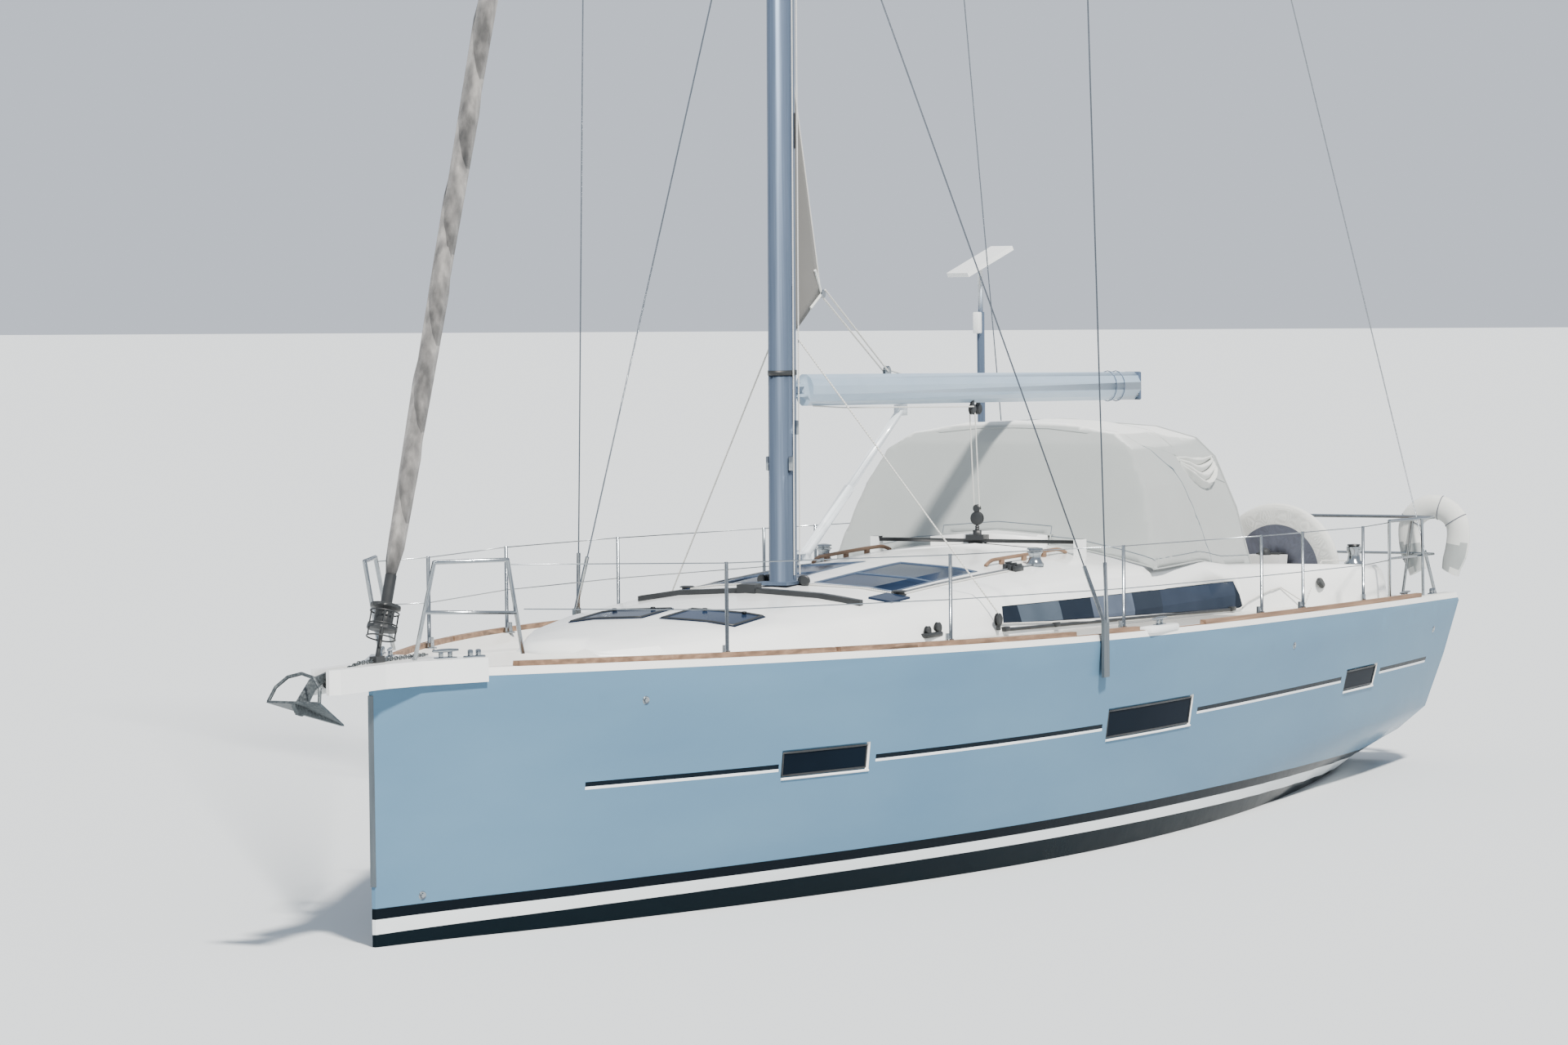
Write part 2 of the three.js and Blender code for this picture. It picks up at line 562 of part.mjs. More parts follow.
// One twisted blade, from the shaft's axis outwards along +Y
function propellerBlade(radius) {
  const rows = [
    [20, 40, 62, 14], [90, 60, 48, 11], [165, 72, 34, 8], [radius - 12, 40, 24, 5], [radius, 8, 22, 3]];
  const rings = rows.map(([y, half, pitch, thick]) => {
    const a = THREE.MathUtils.degToRad(pitch);
    const across = [[half, 0], [0, thick / 2], [-half, 0], [0, -thick / 2]];
    return across.map(([u, w]) => [u * Math.sin(a) + w * Math.cos(a), y, u * Math.cos(a) - w * Math.sin(a)]);
  });
  return loft(rings);
}

// Mast with its spreaders, boom with its vang, shrouds and stays
function mastX(z) {
  return MAST.x - MAST.rake * (z - MAST.foot);
}

const MAST_RINGS = [
  { z: MAST.foot + 20, size: 1 },
  { z: 14000, size: 1 },
  { z: MAST.head, size: 0.66 },
];
const TIPS = {
  lower: { x: 560, y: 1950, z: LOWER_SPREADER_Z + 110 },
  upper: { x: 640, y: 1380, z: UPPER_SPREADER_Z + 90 },
};

function mastLug(z) {
  const lug = join(box(PIVOT_X, mastX(z) - MAST.chord / 2 + 20, -26, 26, z - 20, z + 20),
    rod([PIVOT_X, 0, z - 20], [PIVOT_X, 0, z + 20], 26, 12));
  return join(lug, rod([PIVOT_X, 0, z - 52], [PIVOT_X, 0, z + 52], 9, 12));
}

// The fork that turns on a mast lug; its eyes clear the pin by a millimetre
function fork(z) {
  const cheeks = [26, -46].map((lift) => join(
    box(960, PIVOT_X, -28, 28, z + lift, z + lift + 20),
    rod([PIVOT_X, 0, z + lift], [PIVOT_X, 0, z + lift + 20], 28, 12),
  ));
  const bridge = box(950, 1030, -28, 28, z - 46, z + 46);
  return cut(join(...cheeks, bridge), rod([PIVOT_X, 0, z - 80], [PIVOT_X, 0, z + 80], 10, 12));
}

const VANG_Z = 2075;

function mastTube(grow) {
  return loft(MAST_RINGS.map(({ z, size }) => {
    const ring = [];
    for (let i = 0; i < 16; i += 1) {
      const u = (i * Math.PI * 2) / 16;
      const across = (MAST.width / 2) * size + grow;
      ring.push([mastX(z) + ((MAST.chord / 2) * size + grow) * Math.cos(u), across * Math.sin(u), z]);
    }
    return ring;
  }));
}

function makeMast() {
  const pieces = [mastTube(0)];
  pieces.push(box(MAST.x - 180, MAST.x + 180, -120, 120, MAST.foot + 0.5, MAST.foot + 22));
  for (const tip of Object.values(TIPS)) {
    const rootX = mastX(tip.z);
    for (const side of [1, -1]) {
      const spar = new THREE.CylinderGeometry(34, 62, Math.hypot(rootX - tip.x, tip.y), 8);
      spar.scale(1, 1, 0.3);
      spar.rotateZ(-Math.PI / 2);
      const outwards = new THREE.Vector3(tip.x - rootX, tip.y * side, 110).normalize();
      const chordwise = new THREE.Vector3(-tip.y * side, tip.x - rootX, 0).normalize();
      const upwards = outwards.clone().cross(chordwise);
      spar.applyMatrix4(new THREE.Matrix4().makeBasis(outwards, chordwise, upwards));
      spar.translate((rootX + tip.x) / 2, (tip.y * side) / 2, tip.z - 55);
      pieces.push(toSolid(spar));
    }
  }
  pieces.push(box(mastX(MAST.head) - 300, mastX(MAST.head) + 130, -35, 35, MAST.head - 30, MAST.head + 30));
  pieces.push(rod([mastX(MAST.head) - 40, 0, MAST.head], [mastX(MAST.head) - 40, 0, MAST.head + 900], 8, 6));
  pieces.push(mastLug(BOOM.startZ), mastLug(VANG_Z));
  place('mast', cut(join(...pieces), roofClear), SILVER);
}

function makeBoom() {
  const rings = [[BOOM.start, BOOM.startZ], [BOOM.end, BOOM.endZ]].map(([x, z]) => {
    const ring = [];
    for (let i = 0; i < 12; i += 1) {
      const u = ((i + 0.5) * Math.PI * 2) / 12;
      ring.push([x, (BOOM.width / 2) * Math.cos(u) * 1.03, z + (BOOM.height / 2) * Math.sin(u) * 1.03]);
    }
    return ring;
  });
  place('boom', join(loft(rings), fork(BOOM.startZ)), WHITE);
  const end = [-560, 0, 3072];
  const strut = join(rod([1000, 0, VANG_Z + 15], [300, 0, 2528], 40), rod([300, 0, 2528], end, 30));
  const top = box(-620, -500, -26, 26, 3030, 3112);
  const boomBody = loft(rings);
  place('vang', cut(join(strut, top, fork(VANG_Z)), boomBody.translate([0, 0, -SEAT_GAP])), WHITE);
}

function makeStays() {
  const plate = { x: CHAINPLATE_X, y: sheerHalf(CHAINPLATE_X), z: sheerZ(CHAINPLATE_X) };
  const foot = [plate.x, plate.y + 14, plate.z + 150];
  const foot2 = [plate.x + 40, plate.y + 14, plate.z + 150];
  const { lower, upper } = TIPS;
  const out = 16;
  const lowerTip = [lower.x - 20, lower.y + out, lower.z];
  const upperTip = [upper.x - 20, upper.y + out, upper.z];
  const mastSide = (z, size = 1) => [mastX(z), (MAST.width / 2) * size + 6, z];
  const shrouds = join(
    rod(along(foot, lowerTip, 150), lowerTip, 6, 6),
    rod(lowerTip, upperTip, 6, 6),
    rod(upperTip, mastSide(HOUNDS_Z, 0.83), 6, 6),
    rod(along(foot2, mastSide(LOWER_SPREADER_Z - 160), 150), mastSide(LOWER_SPREADER_Z - 160), 6, 6),
    rod(lowerTip, mastSide(UPPER_SPREADER_Z - 160), 5, 6),
    rod(foot, along(foot, lowerTip, 420), 15, 8),
    rod(foot2, along(foot2, mastSide(LOWER_SPREADER_Z - 160), 420), 15, 8),
    box(plate.x - 24, plate.x + 70, plate.y + 4, plate.y + 24, plate.z - 230, plate.z + 165),
  );
  const clearance = boxRound(plate);
  placePair('shrouds', cut(shrouds, hullClear, clearance), METAL);

  const craneX = mastX(MAST.head) - 250;
  const craneZ = MAST.head - 30 - 14 - SEAT_GAP;
  const quarter = [-6610, 1900, sheerZ(-6610) + GUNWALE];
  const leg = join(rod(along(quarter, [craneX, 30, craneZ], 150), [craneX, 30, craneZ], 5, 6),
    rod(quarter, along(quarter, [craneX, 30, craneZ], 380), 14, 8));
  const yoke = box(craneX - 18, craneX + 22, -45, 45, craneZ - 14, craneZ + 14);
  place('backstays', cut(join(leg, mirror(leg), yoke), hullClear), METAL);
}

function boxRound(plate) {
  return box(plate.x - 60, plate.x + 120, 0, plate.y + 3, plate.z - 5, plate.z + GUNWALE + 4);
}

function along(from, to, distance) {
  const a = vector(from);
  const direction = vector(to).sub(a).normalize();
  return a.addScaledVector(direction, distance).toArray();
}

// Forestay with its furler and the jib rolled round it
const STAY = { x: 6700, low: 1738, slope: -0.35, top: 17650, sail: 72 };

function stayPoint(z) {
  return [STAY.x + STAY.slope * (z - STAY.low), 0, z];
}

function makeForestay() {
  const drum = [
    [STAY.low + 12, 14], [1930, 14], [1931, 95], [1952, 95], [1956, 60], [2056, 60], [2060, 95], [2080, 95],
    [2082, 36], [2260, 36]];
  const foot = box(STAY.x - 60, STAY.x + 40, -25, 25, 1735.4, 1775);
  const onStay = ([z, radius]) => ({ at: stayPoint(z), radius });
  place('furler_drum', join(foot, turned(drum.map(onStay), 14)), BLACK);
  const sail = [
    [2262, 36], [2420, 62], [3400, 70], [6000, STAY.sail], [11000, 60], [16300, 42], [16900, 18], [16960, 8]];
  const end = [mastX(STAY.top) + 0.4 + (MAST.chord / 2) * 0.7, 0, STAY.top - 150];
  const rolled = turned([...sail.map(onStay), { at: end, radius: 8 }], 10);
  place('furled_jib', cut(rolled, mastTube(SEAT_GAP)), WHITE_FABRIC);
}

// Guard rails: pulpit, pushpit, stanchions with their wires, and the teak toe rail
const STANCHIONS = [4260, 2220, 60, -2370, -3230, -4590];
const TOE_RAIL = [[5830, 3430], [3390, 860], [430, -30], [-1120, -5820]];

function railFoot(x, inboard = 105) {
  return [x, sheerHalf(x) - inboard, sheerZ(x) + GUNWALE + SEAT_GAP];
}

function raised([x, y, z], lift, dx = 0, dy = 0) {
  return [x + dx, y + dy, z + lift];
}

function makeRails() {
  const bowFoot = [6450, 120, 1735 + SEAT_GAP];
  const bowTop = [6420, 250, 2335];
  const legFoot = railFoot(5720, 110);
  const legTop = [5930, 480, 2330];
  const legMid = [5830, (legFoot[1] + legTop[1]) / 2, (legFoot[2] + legTop[2]) / 2];
  const bowMid = [6436, 190, 2030];
  const pulpit = join(
    bentRod([bowFoot, bowTop, legTop, legFoot], 14),
    rod(bowMid, legMid, 12),
  );
  placePair('pulpit', cut(pulpit, hullClear, box(5500, 7400, -700, 700, 1400, 1735.3)), METAL);

  const sternFoot = railFoot(-5230);
  const cornerFoot = railFoot(-6100);
  const quarterFoot = [-6600, 1620, sheerZ(-6600) + GUNWALE - 54];
  const gateFoot = [-6620, 560, sheerZ(-6620) + 12];
  const top = STANCHION_HEIGHT + 20;
  const corner = [-6500, 1930, sternFoot[2] + top - 30];
  const quarter = [-6640, 1700, sternFoot[2] + top - 35];
  const gate = [-6640, 560, sternFoot[2] + top - 35];
  const midCorner = [corner[0], corner[1], corner[2] - 300];
  const midQuarter = [quarter[0], quarter[1], quarter[2] - 300];
  const deckAt = (p) => [p[0], p[1], deckZ(p[0], p[1]) + SEAT_GAP + 2];
  const pushpit = join(
    bentRod([sternFoot, raised(sternFoot, top), corner, quarter, gate, deckAt(gateFoot)], 14),
    bentRod([raised(sternFoot, top - 300), midCorner, midQuarter, [gate[0] + 6, gate[1], gate[2] - 300]],
      11),
    rod(cornerFoot, [cornerFoot[0], corner[1] + 50, corner[2]], 13),
    rod(deckAt(quarterFoot), quarter, 13),
  );
  placePair('pushpit', cut(pushpit, hullClear), METAL);

  const posts = STANCHIONS.map((x) => railFoot(x));
  const tops = posts.map((foot) => raised(foot, STANCHION_HEIGHT));
  const wires = [0, -300].map((drop) => {
    const line = tops.map((point) => raised(point, drop - 8));
    const first = drop === 0 ? [5915, 498, 2300] : [5845, 545, 2020];
    const last = raised(sternFoot, top - 12 + drop, 18);
    return bentRod([first, ...line, last], 4, 5);
  });
  const stanchions = posts.map((foot, i) => join(rod(foot, tops[i], 13), rod(foot, raised(foot, 40), 22)));
  placePair('lifelines', cut(join(...stanchions, ...wires), hullClear), METAL);

  const strips = TOE_RAIL.map(([from, to]) => sheerStrip(from, to, 33, 0));
  placePair('toe_rail', join(sheerStrip(TOE_RAIL[0][0], TOE_RAIL[3][1], 3, 4), ...strips), TEAK);
}

// A strip that follows the gunwale
function sheerStrip(from, to, height, narrow) {
  const steps = Math.max(2, Math.ceil((from - to) / 420));
  const rings = [];
  for (let i = 0; i <= steps; i += 1) {
    const x = from + ((to - from) * i) / steps;
    const outer = sheerHalf(x) - 26 - narrow;
    const inner = sheerHalf(x) - 76 + narrow;
    const low = sheerZ(x) + GUNWALE + 0.6;
    rings.push([[x, outer, low], [x, outer - 3, low + height], [x, inner + 3, low + height], [x, inner, low]]);
  }
  return loft(rings);
}

// Companionway: sliding hatch under the sea hood and the board below it
const HATCH = { front: -2380, back: -3105, half: 392, low: 1, high: 30 };

function makeCompanionway() {
  const plate = box(HATCH.back, HATCH.front, -HATCH.half, HATCH.half, 1800, 2200);
  const upper = roofSkin(-HATCH.high, 4350, BULKHEAD_X - 60);
  const hatch = cut(plate.intersect(upper), roofSkin(-HATCH.low, 4350, BULKHEAD_X - 60));
  place('companionway_hatch', hatch, DARK_GLASS);
  const half = COMPANIONWAY_HALF - 0.4;
  const board = box(BULKHEAD_X + 12, BULKHEAD_X + 34, -half, half, 1094, 2200);
  place('washboard', board.intersect(roofSkin(6, 4350, BULKHEAD_X)), TEAK);
}

// Sprayhood over the companionway, open below and aft
const HOOD = { front: -2110, back: -4350, wall: 14 };

function hoodArch(x, half) {
  const starboard = half.filter(([y]) => y > 0).map(([y, z]) => [x, -y, z]).reverse();
  return [...half.map(([y, z]) => [x, y, z]), ...starboard];
}

function hoodBody(inset, back) {
  const forward = [[1275, 1300], [1270, 1900], [1120, 2450], [990, 2715], [820, 2845], [420, 2920], [0, 2940]];
  const aft = [[1235, 1300], [1225, 1650], [1080, 2200], [900, 2600], [740, 2745], [400, 2835], [0, 2862]];
  const drawn = (rows) => rows.map(([y, z]) => [Math.max(y - inset, 0), z - (z > 1900 ? inset : 0)]);
  const arch = loft([hoodArch(-1900, drawn(forward)), hoodArch(-3150, drawn(forward)), hoodArch(back, drawn(aft))]);
  const profile = [[HOOD.front - inset, 1200], [HOOD.front - inset, 1860], [-2440 - inset, 2770],
    [-2640 - inset, 3000], [back, 3000], [back, 1200]];
  return arch.intersect(slab(profile, 'y', -1500, 1500));
}

function makeSprayhood() {
  const { front, back, half } = SEA_HOOD;
  const seaHood = box(back - 1, front + 1, -half - 1, half + 1, 1800, 2200)
    .intersect(roofSkin(-73, 4350, BULKHEAD_X));
  const hatchWay = box(HATCH.back - 5, HATCH.front, -HATCH.half - 6, HATCH.half + 6, 1800, 2100);
  const coaming = coamingSkin(SEAT_GAP);
  const shell = cut(hoodBody(0, HOOD.back), hoodBody(HOOD.wall, HOOD.back - 100));
  place('sprayhood', cut(shell, roofClear, coaming, mirror(coaming), seaHood, hatchWay, hullClear), WHITE_FABRIC);
}

// Cockpit: table, seat lockers, steering pedestals and wheels, winches
function makeCockpit() {
  const sole = HELM_SOLE_Z + SEAT_GAP;
  const leaf = box(-4150, -3350, 150, 172, 1240, 1500);
  const top = box(-4150, -3350, -150, 150, 1470, 1500);
  const table = join(box(-3950, -3550, -100, 100, sole, 1490), top, leaf, mirror(leaf));
  place('cockpit_table', table, TEAK);

  const { front, back, inner, outer } = SEAT_LOCKER;
  const lid = box(back + LID_GAP, front - LID_GAP, inner + LID_GAP, outer - 0.8, SEAT_Z - 26, SEAT_Z + 6);
  placePair('seat_locker_lid', lid, TEAK);

  const column = loft([[SEAT_END_X - 30, SEAT_END_X - 260, 150, sole], [SEAT_END_X - 40, SEAT_END_X - 230, 120, 1560],
    [SEAT_END_X - 20, SEAT_END_X - 200, 150, 1790]].map(([ahead, astern, half, z]) => [
    [ahead, WHEEL.y - half, z], [ahead, WHEEL.y + half, z], [astern, WHEEL.y + half, z], [astern, WHEEL.y - half, z]]));
  const shaft = rod([SEAT_END_X - 150, WHEEL.y, WHEEL.z], [WHEEL.x + 30.4, WHEEL.y, WHEEL.z], 18, 12);
  placePair('steering_pedestal', join(column, shaft), WHITE);

  const rimRadius = WHEEL.radius - WHEEL.rim;
  const rim = new THREE.TorusGeometry(rimRadius, WHEEL.rim, 6, 32);
  rim.rotateY(Math.PI / 2);
  rim.translate(WHEEL.x, WHEEL.y, WHEEL.z);
  const spokes = [0, 72, 144, 216, 288].map((angle) => {
    const u = THREE.MathUtils.degToRad(angle);
    const end = [WHEEL.x, WHEEL.y + rimRadius * Math.sin(u), WHEEL.z + rimRadius * Math.cos(u)];
    return rod([WHEEL.x, WHEEL.y, WHEEL.z], end, 8, 6);
  });
  const hub = rod([WHEEL.x - 30, WHEEL.y, WHEEL.z], [WHEEL.x + 30, WHEEL.y, WHEEL.z], 42, 16);
  placePair('wheel', join(toSolid(rim), hub, ...spokes), METAL);

  const outside = [[56, -28], [470, -36], [506, -16], [506, 16], [470, 36], [56, 28]];
  const inside = [[56, 23], [466, 31], [492.2, 14], [492.2, -14], [466, -31], [56, -23]];
  const profile = [...outside, ...inside, outside[0]].map(([r, t]) => new THREE.Vector2(r, t));
  const cover = new THREE.LatheGeometry(profile, 36);
  cover.rotateZ(Math.PI / 2);
  cover.translate(WHEEL.x, WHEEL.y, WHEEL.z);
  place('wheel_cover', toSolid(cover), WHITE_FABRIC);

  const drum = [[0, 0], [78, 0], [78, 22], [52, 40], [46, 95], [60, 120], [60, 150], [24, 158], [0, 158]];
  const winch = new THREE.LatheGeometry(drum.map(([r, z]) => new THREE.Vector2(r, z)), 18);
  winch.rotateX(Math.PI / 2);
  winch.translate(-5200, 1738, linear(COAMING, -5200, 'top') + SEAT_GAP - 8);
  placePair('winch', cut(toSolid(winch), coamingSkin(SEAT_GAP)), METAL);
}

// Tracks across the coachroof: the mainsheet's traveller and the jib's curved track
function makeTracks() {
  const z = 2034;
  const foot = box(-1890, -1810, 815, 885, 1800, z + 36);
  const middleFoot = box(-1884, -1816, -60, 60, 1950, z + 4);
  const beam = join(box(-1876, -1824, -880, 880, z, z + 26), foot, mirror(foot), middleFoot);
  const car = join(box(-1900, -1800, -75, 75, z + 20, z + 58), box(-1864, -1836, -30, 30, z + 50, z + 92));
  place('traveller', cut(join(beam, car), roofClear), BLACK);
  const strip = box(1819, 1869, -870, 870, 1600, 2100).intersect(roofSkin(-34, 4350, BULKHEAD_X));
  const slider = box(1790, 1898, -70, 70, 1600, 2100).intersect(roofSkin(-62, 4350, BULKHEAD_X));
  place('jib_track', cut(join(strip, slider), roofClear), BLACK);
}

// Stern: folding bathing platform, horseshoe buoy, flat satellite panel on its pole
const PANEL = { x: -6000, y: -1920, centre: 4165, length: 520, width: 300, thick: 38, poleTop: 3740 };

function makeStern() {
  place('transom_platform', box(-6738, -6686, -1000, 1000, 215.8, 1108), WHITE);

  const centre = { x: -6714.3, y: 1857, z: 1888 };
  const radius = 255;
  const path = [[-150, -330], [-205, -200], [-radius, 0]];
  for (const angle of [30, 60, 90, 120, 150]) {
    const u = THREE.MathUtils.degToRad(angle);
    path.push([-radius * Math.cos(u), radius * Math.sin(u)]);
  }
  path.push([radius, 0], [205, -200], [150, -330]);
  const buoyRings = path.map(([across, up], i) => {
    const before = path[Math.max(i - 1, 0)];
    const after = path[Math.min(i + 1, path.length - 1)];
    const run = new THREE.Vector2(after[0] - before[0], after[1] - before[1]).normalize();
    const size = i === 0 || i === path.length - 1 ? 0.7 : 1;
    return [0, 45, 90, 135, 180, 225, 270, 315].map((angle) => {
      const u = THREE.MathUtils.degToRad(angle);
      const side = 62 * size * Math.cos(u);
      return [centre.x + 60 * size * Math.sin(u), centre.y + across + run.y * side, centre.z + up - run.x * side];
    });
  });
  place('horseshoe_buoy', loft(buoyRings), WHITE_FABRIC);

  const { x, y, centre: middle } = PANEL;
  const long = new THREE.Vector3(-0.436, 0.238, 0.238).normalize();
  const face = long.clone().cross(new THREE.Vector3(0.144, 0.2645, 0)).normalize();
  const short = face.clone().cross(long);
  if (face.z < 0) {
    face.negate();
  }
  const rings = [-PANEL.thick / 2, PANEL.thick / 2].map((lift) => [[1, 1], [-1, 1], [-1, -1], [1, -1]].map(([u, v]) => (
    new THREE.Vector3(x, y, middle).addScaledVector(long, (u * PANEL.length) / 2)
      .addScaledVector(short, (v * PANEL.width) / 2).addScaledVector(face, lift).toArray())));
  const arm = rod([x, y, PANEL.poleTop - 60], [x, y, middle], 20, 12);
  const pole = rod([x, y, 1330], [x, y, PANEL.poleTop], 33, 12);
  place('satellite_panel', cut(join(loft(rings), arm, pole), hullClear), WHITE);
}

makeHull();
makeDeckMoulding();
makeBow();
makeUnderbody();
makeMast();
makeBoom();
makeStays();
makeForestay();
makeRails();
makeCompanionway();
makeSprayhood();
makeCockpit();
makeTracks();
makeStern();

export default yacht;
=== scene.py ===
# %% [markdown]
# # A cruising yacht, dressed in Blender
# The solids of the yacht come in as a fixed frame, in metres, with the waterline at height zero.
# Everything below gives those solids real finishes, replaces the soft ones with sewn cloth, and adds
# the small fittings and ropes that a solid model leaves out.

# %% Load the frame
import math

import bmesh
import bpy
from mathutils import Matrix, Vector
from mathutils.bvhtree import BVHTree


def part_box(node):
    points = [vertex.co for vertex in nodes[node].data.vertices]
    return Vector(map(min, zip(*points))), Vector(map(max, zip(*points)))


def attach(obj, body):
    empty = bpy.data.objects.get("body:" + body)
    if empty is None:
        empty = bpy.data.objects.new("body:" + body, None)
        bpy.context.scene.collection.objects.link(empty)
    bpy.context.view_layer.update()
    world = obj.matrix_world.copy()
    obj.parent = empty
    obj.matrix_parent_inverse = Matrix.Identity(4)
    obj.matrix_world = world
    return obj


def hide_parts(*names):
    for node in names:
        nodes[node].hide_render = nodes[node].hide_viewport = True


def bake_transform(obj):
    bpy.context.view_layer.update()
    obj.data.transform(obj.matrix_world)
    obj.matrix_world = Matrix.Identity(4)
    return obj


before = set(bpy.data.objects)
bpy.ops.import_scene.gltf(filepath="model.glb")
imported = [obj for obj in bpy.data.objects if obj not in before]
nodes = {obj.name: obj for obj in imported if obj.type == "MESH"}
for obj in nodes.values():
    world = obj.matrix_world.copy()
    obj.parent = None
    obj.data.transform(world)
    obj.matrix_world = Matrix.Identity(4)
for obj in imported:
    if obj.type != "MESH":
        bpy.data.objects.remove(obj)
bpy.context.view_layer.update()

# %% [markdown]
# ## Camera
# The photograph was taken off the port bow, with a long lens. The camera's place and direction were
# worked out from the hull's known sizes, so the camera is set from three directions instead of
# being turned by hand: right, up and backwards are the columns of its rotation.

# %% Camera
LENS, SENSOR = 117.587, 36.0
CAMERA_PLACE = (33.147, 16.605, 4.063)
AHEAD, UPRIGHT = Vector((-0.8856, -0.4619, -0.0481)), Vector((-0.0475, -0.0128, 0.9988))
camera_data = bpy.data.cameras.new("bow_camera")
camera_data.sensor_fit = "HORIZONTAL"
camera_data.sensor_width = SENSOR
camera_data.lens = LENS
camera_data.clip_end = 2000.0
camera = bpy.data.objects.new("bow_camera", camera_data)
bpy.context.scene.collection.objects.link(camera)
ahead = AHEAD.normalized()
across = ahead.cross(UPRIGHT).normalized()
upward = across.cross(ahead)
turn = Matrix((across, upward, -ahead)).transposed().to_4x4()
camera.matrix_world = Matrix.Translation(CAMERA_PLACE) @ turn
bpy.context.scene.camera = camera
print("lens", round(camera_data.lens, 1), "mm")

# %% [markdown]
# ## Colour and nodes
# Colours are written as the sRGB values a paint card would give, and the shader wants linear light,
# so one function converts them. A second small function adds a node and wires it in one go.


# %% Colour and node helpers
def linear(colour):
    """Turns an sRGB hex colour such as "C3D0D6" into linear RGBA."""
    channels = [int(colour[i:i + 2], 16) / 255 for i in (0, 2, 4)]
    return [c / 12.92 if c <= 0.04045 else ((c + 0.055) / 1.055) ** 2.4 for c in channels] + [1.0]


def add(material, kind, values=None, links=None, **settings):
    """Adds a node: settings are its own properties, values fill its sockets, links join outputs to them."""
    tree = material.node_tree
    node = tree.nodes.new("ShaderNode" + kind)
    for name, value in settings.items():
        setattr(node, name, value)
    for socket, value in (values or {}).items():
        node.inputs[socket].default_value = value
    for socket, output in (links or {}).items():
        tree.links.new(output, node.inputs[socket])
    return node


def feed(material, socket, output):
    """Joins an output to one of the shader's own sockets."""
    shader = material.node_tree.nodes["Principled BSDF"]
    material.node_tree.links.new(output, shader.inputs[socket])


def finish(name, colour, roughness, **sockets):
    """Starts a material whose plain values sit on the shader's own sockets."""
    material = bpy.data.materials.new(name)
    material.use_nodes = True
    shader = material.node_tree.nodes["Principled BSDF"]
    shader.inputs["Base Color"].default_value = linear(colour)
    shader.inputs["Roughness"].default_value = roughness
    for socket, value in sockets.items():
        shader.inputs[socket.replace("_", " ")].default_value = value
    return material


print("helpers ready")

# %% [markdown]
# ## Patterns
# Most finishes need the same few things: the piece's own coordinates stretched along an axis, a soft
# noise, a ramp of colours, a roughness that wanders, and a relief a fraction of a millimetre deep.


# %% Pattern helpers
def stretched(material, x=1.0, y=1.0, z=1.0):
    """The piece's own coordinates in metres, scaled along each axis."""
    coordinates = add(material, "TexCoord")
    mapping = add(material, "Mapping", {"Scale": (x, y, z)}, {"Vector": coordinates.outputs["Object"]})
    return mapping.outputs["Vector"]


def axes_of(material, vector):
    """The X, Y and Z parts of a vector output."""
    parts = add(material, "SeparateXYZ", links={"Vector": vector})
    return parts.outputs["X"], parts.outputs["Y"], parts.outputs["Z"]


def facing_up(material):
    """How far the surface looks up: 1 where it is level and 0 where it is upright."""
    return axes_of(material, add(material, "TexCoord").outputs["Normal"])[2]


def noise(material, vector, scale, detail=3.0):
    """A soft random pattern between 0 and 1."""
    return add(material, "TexNoise", {"Scale": scale, "Detail": detail}, {"Vector": vector}).outputs["Fac"]


def ramp(material, factor, *colours, interpolation="LINEAR"):
    """A colour read from (place, hex) pairs at the factor."""
    node = add(material, "ValToRGB", links={"Fac": factor})
    node.color_ramp.interpolation = interpolation
    points = node.color_ramp.elements
    while len(points) < len(colours):
        points.new(1.0)
    for point, (place, colour) in zip(points, colours):
        point.position = place
        point.color = linear(colour)
    return node.outputs["Color"]


def spread(material, factor, low, high):
    """Maps 0 to 1 onto low to high."""
    span = add(material, "MapRange", {"To Min": low, "To Max": high}, {"Value": factor})
    return span.outputs["Result"]


def relief(material, height, depth):
    """Bumps the surface by the height pattern, whose full step stands for depth metres."""
    bump = add(material, "Bump", {"Distance": depth, "Strength": 1.0}, {"Height": height})
    feed(material, "Normal", bump.outputs["Normal"])


def sum_of(material, operation, first, second=0.0, third=0.0):
    """One sum between outputs or numbers."""
    node = add(material, "Math", operation=operation)
    for socket, value in zip(node.inputs, (first, second, third)):
        if isinstance(value, (int, float)):
            socket.default_value = value
        else:
            material.node_tree.links.new(value, socket)
    return node.outputs["Value"]


def mixed(material, factor, first, second):
    """Colour first where the factor is 0 and second where it is 1; each is a hex colour or an output."""
    node = add(material, "Mix", data_type="RGBA")
    material.node_tree.links.new(factor, node.inputs[0])
    for socket, value in ((node.inputs[6], first), (node.inputs[7], second)):
        if isinstance(value, str):
            socket.default_value = linear(value)
        else:
            material.node_tree.links.new(value, socket)
    return node.outputs[2]


def mottled(name, colour, roughness, tones, wander=None, bumps=None, stretch=(1, 1, 1), **sockets):
    """A finish of two close tones: tones is (first, second, scale), with a detail as a fourth if wanted,
    wander is (scale, lowest, highest roughness), and bumps is (scale, depth)."""
    material = finish(name, colour, roughness, **sockets)
    place = stretched(material, *stretch)
    first, second, *pattern = tones
    feed(material, "Base Color", mixed(material, noise(material, place, *pattern), first, second))
    if wander:
        scale, low, high = wander
        feed(material, "Roughness", spread(material, noise(material, place, scale), low, high))
    if bumps:
        scale, depth = bumps
        relief(material, noise(material, place, scale), depth)
    return material


print("patterns ready")
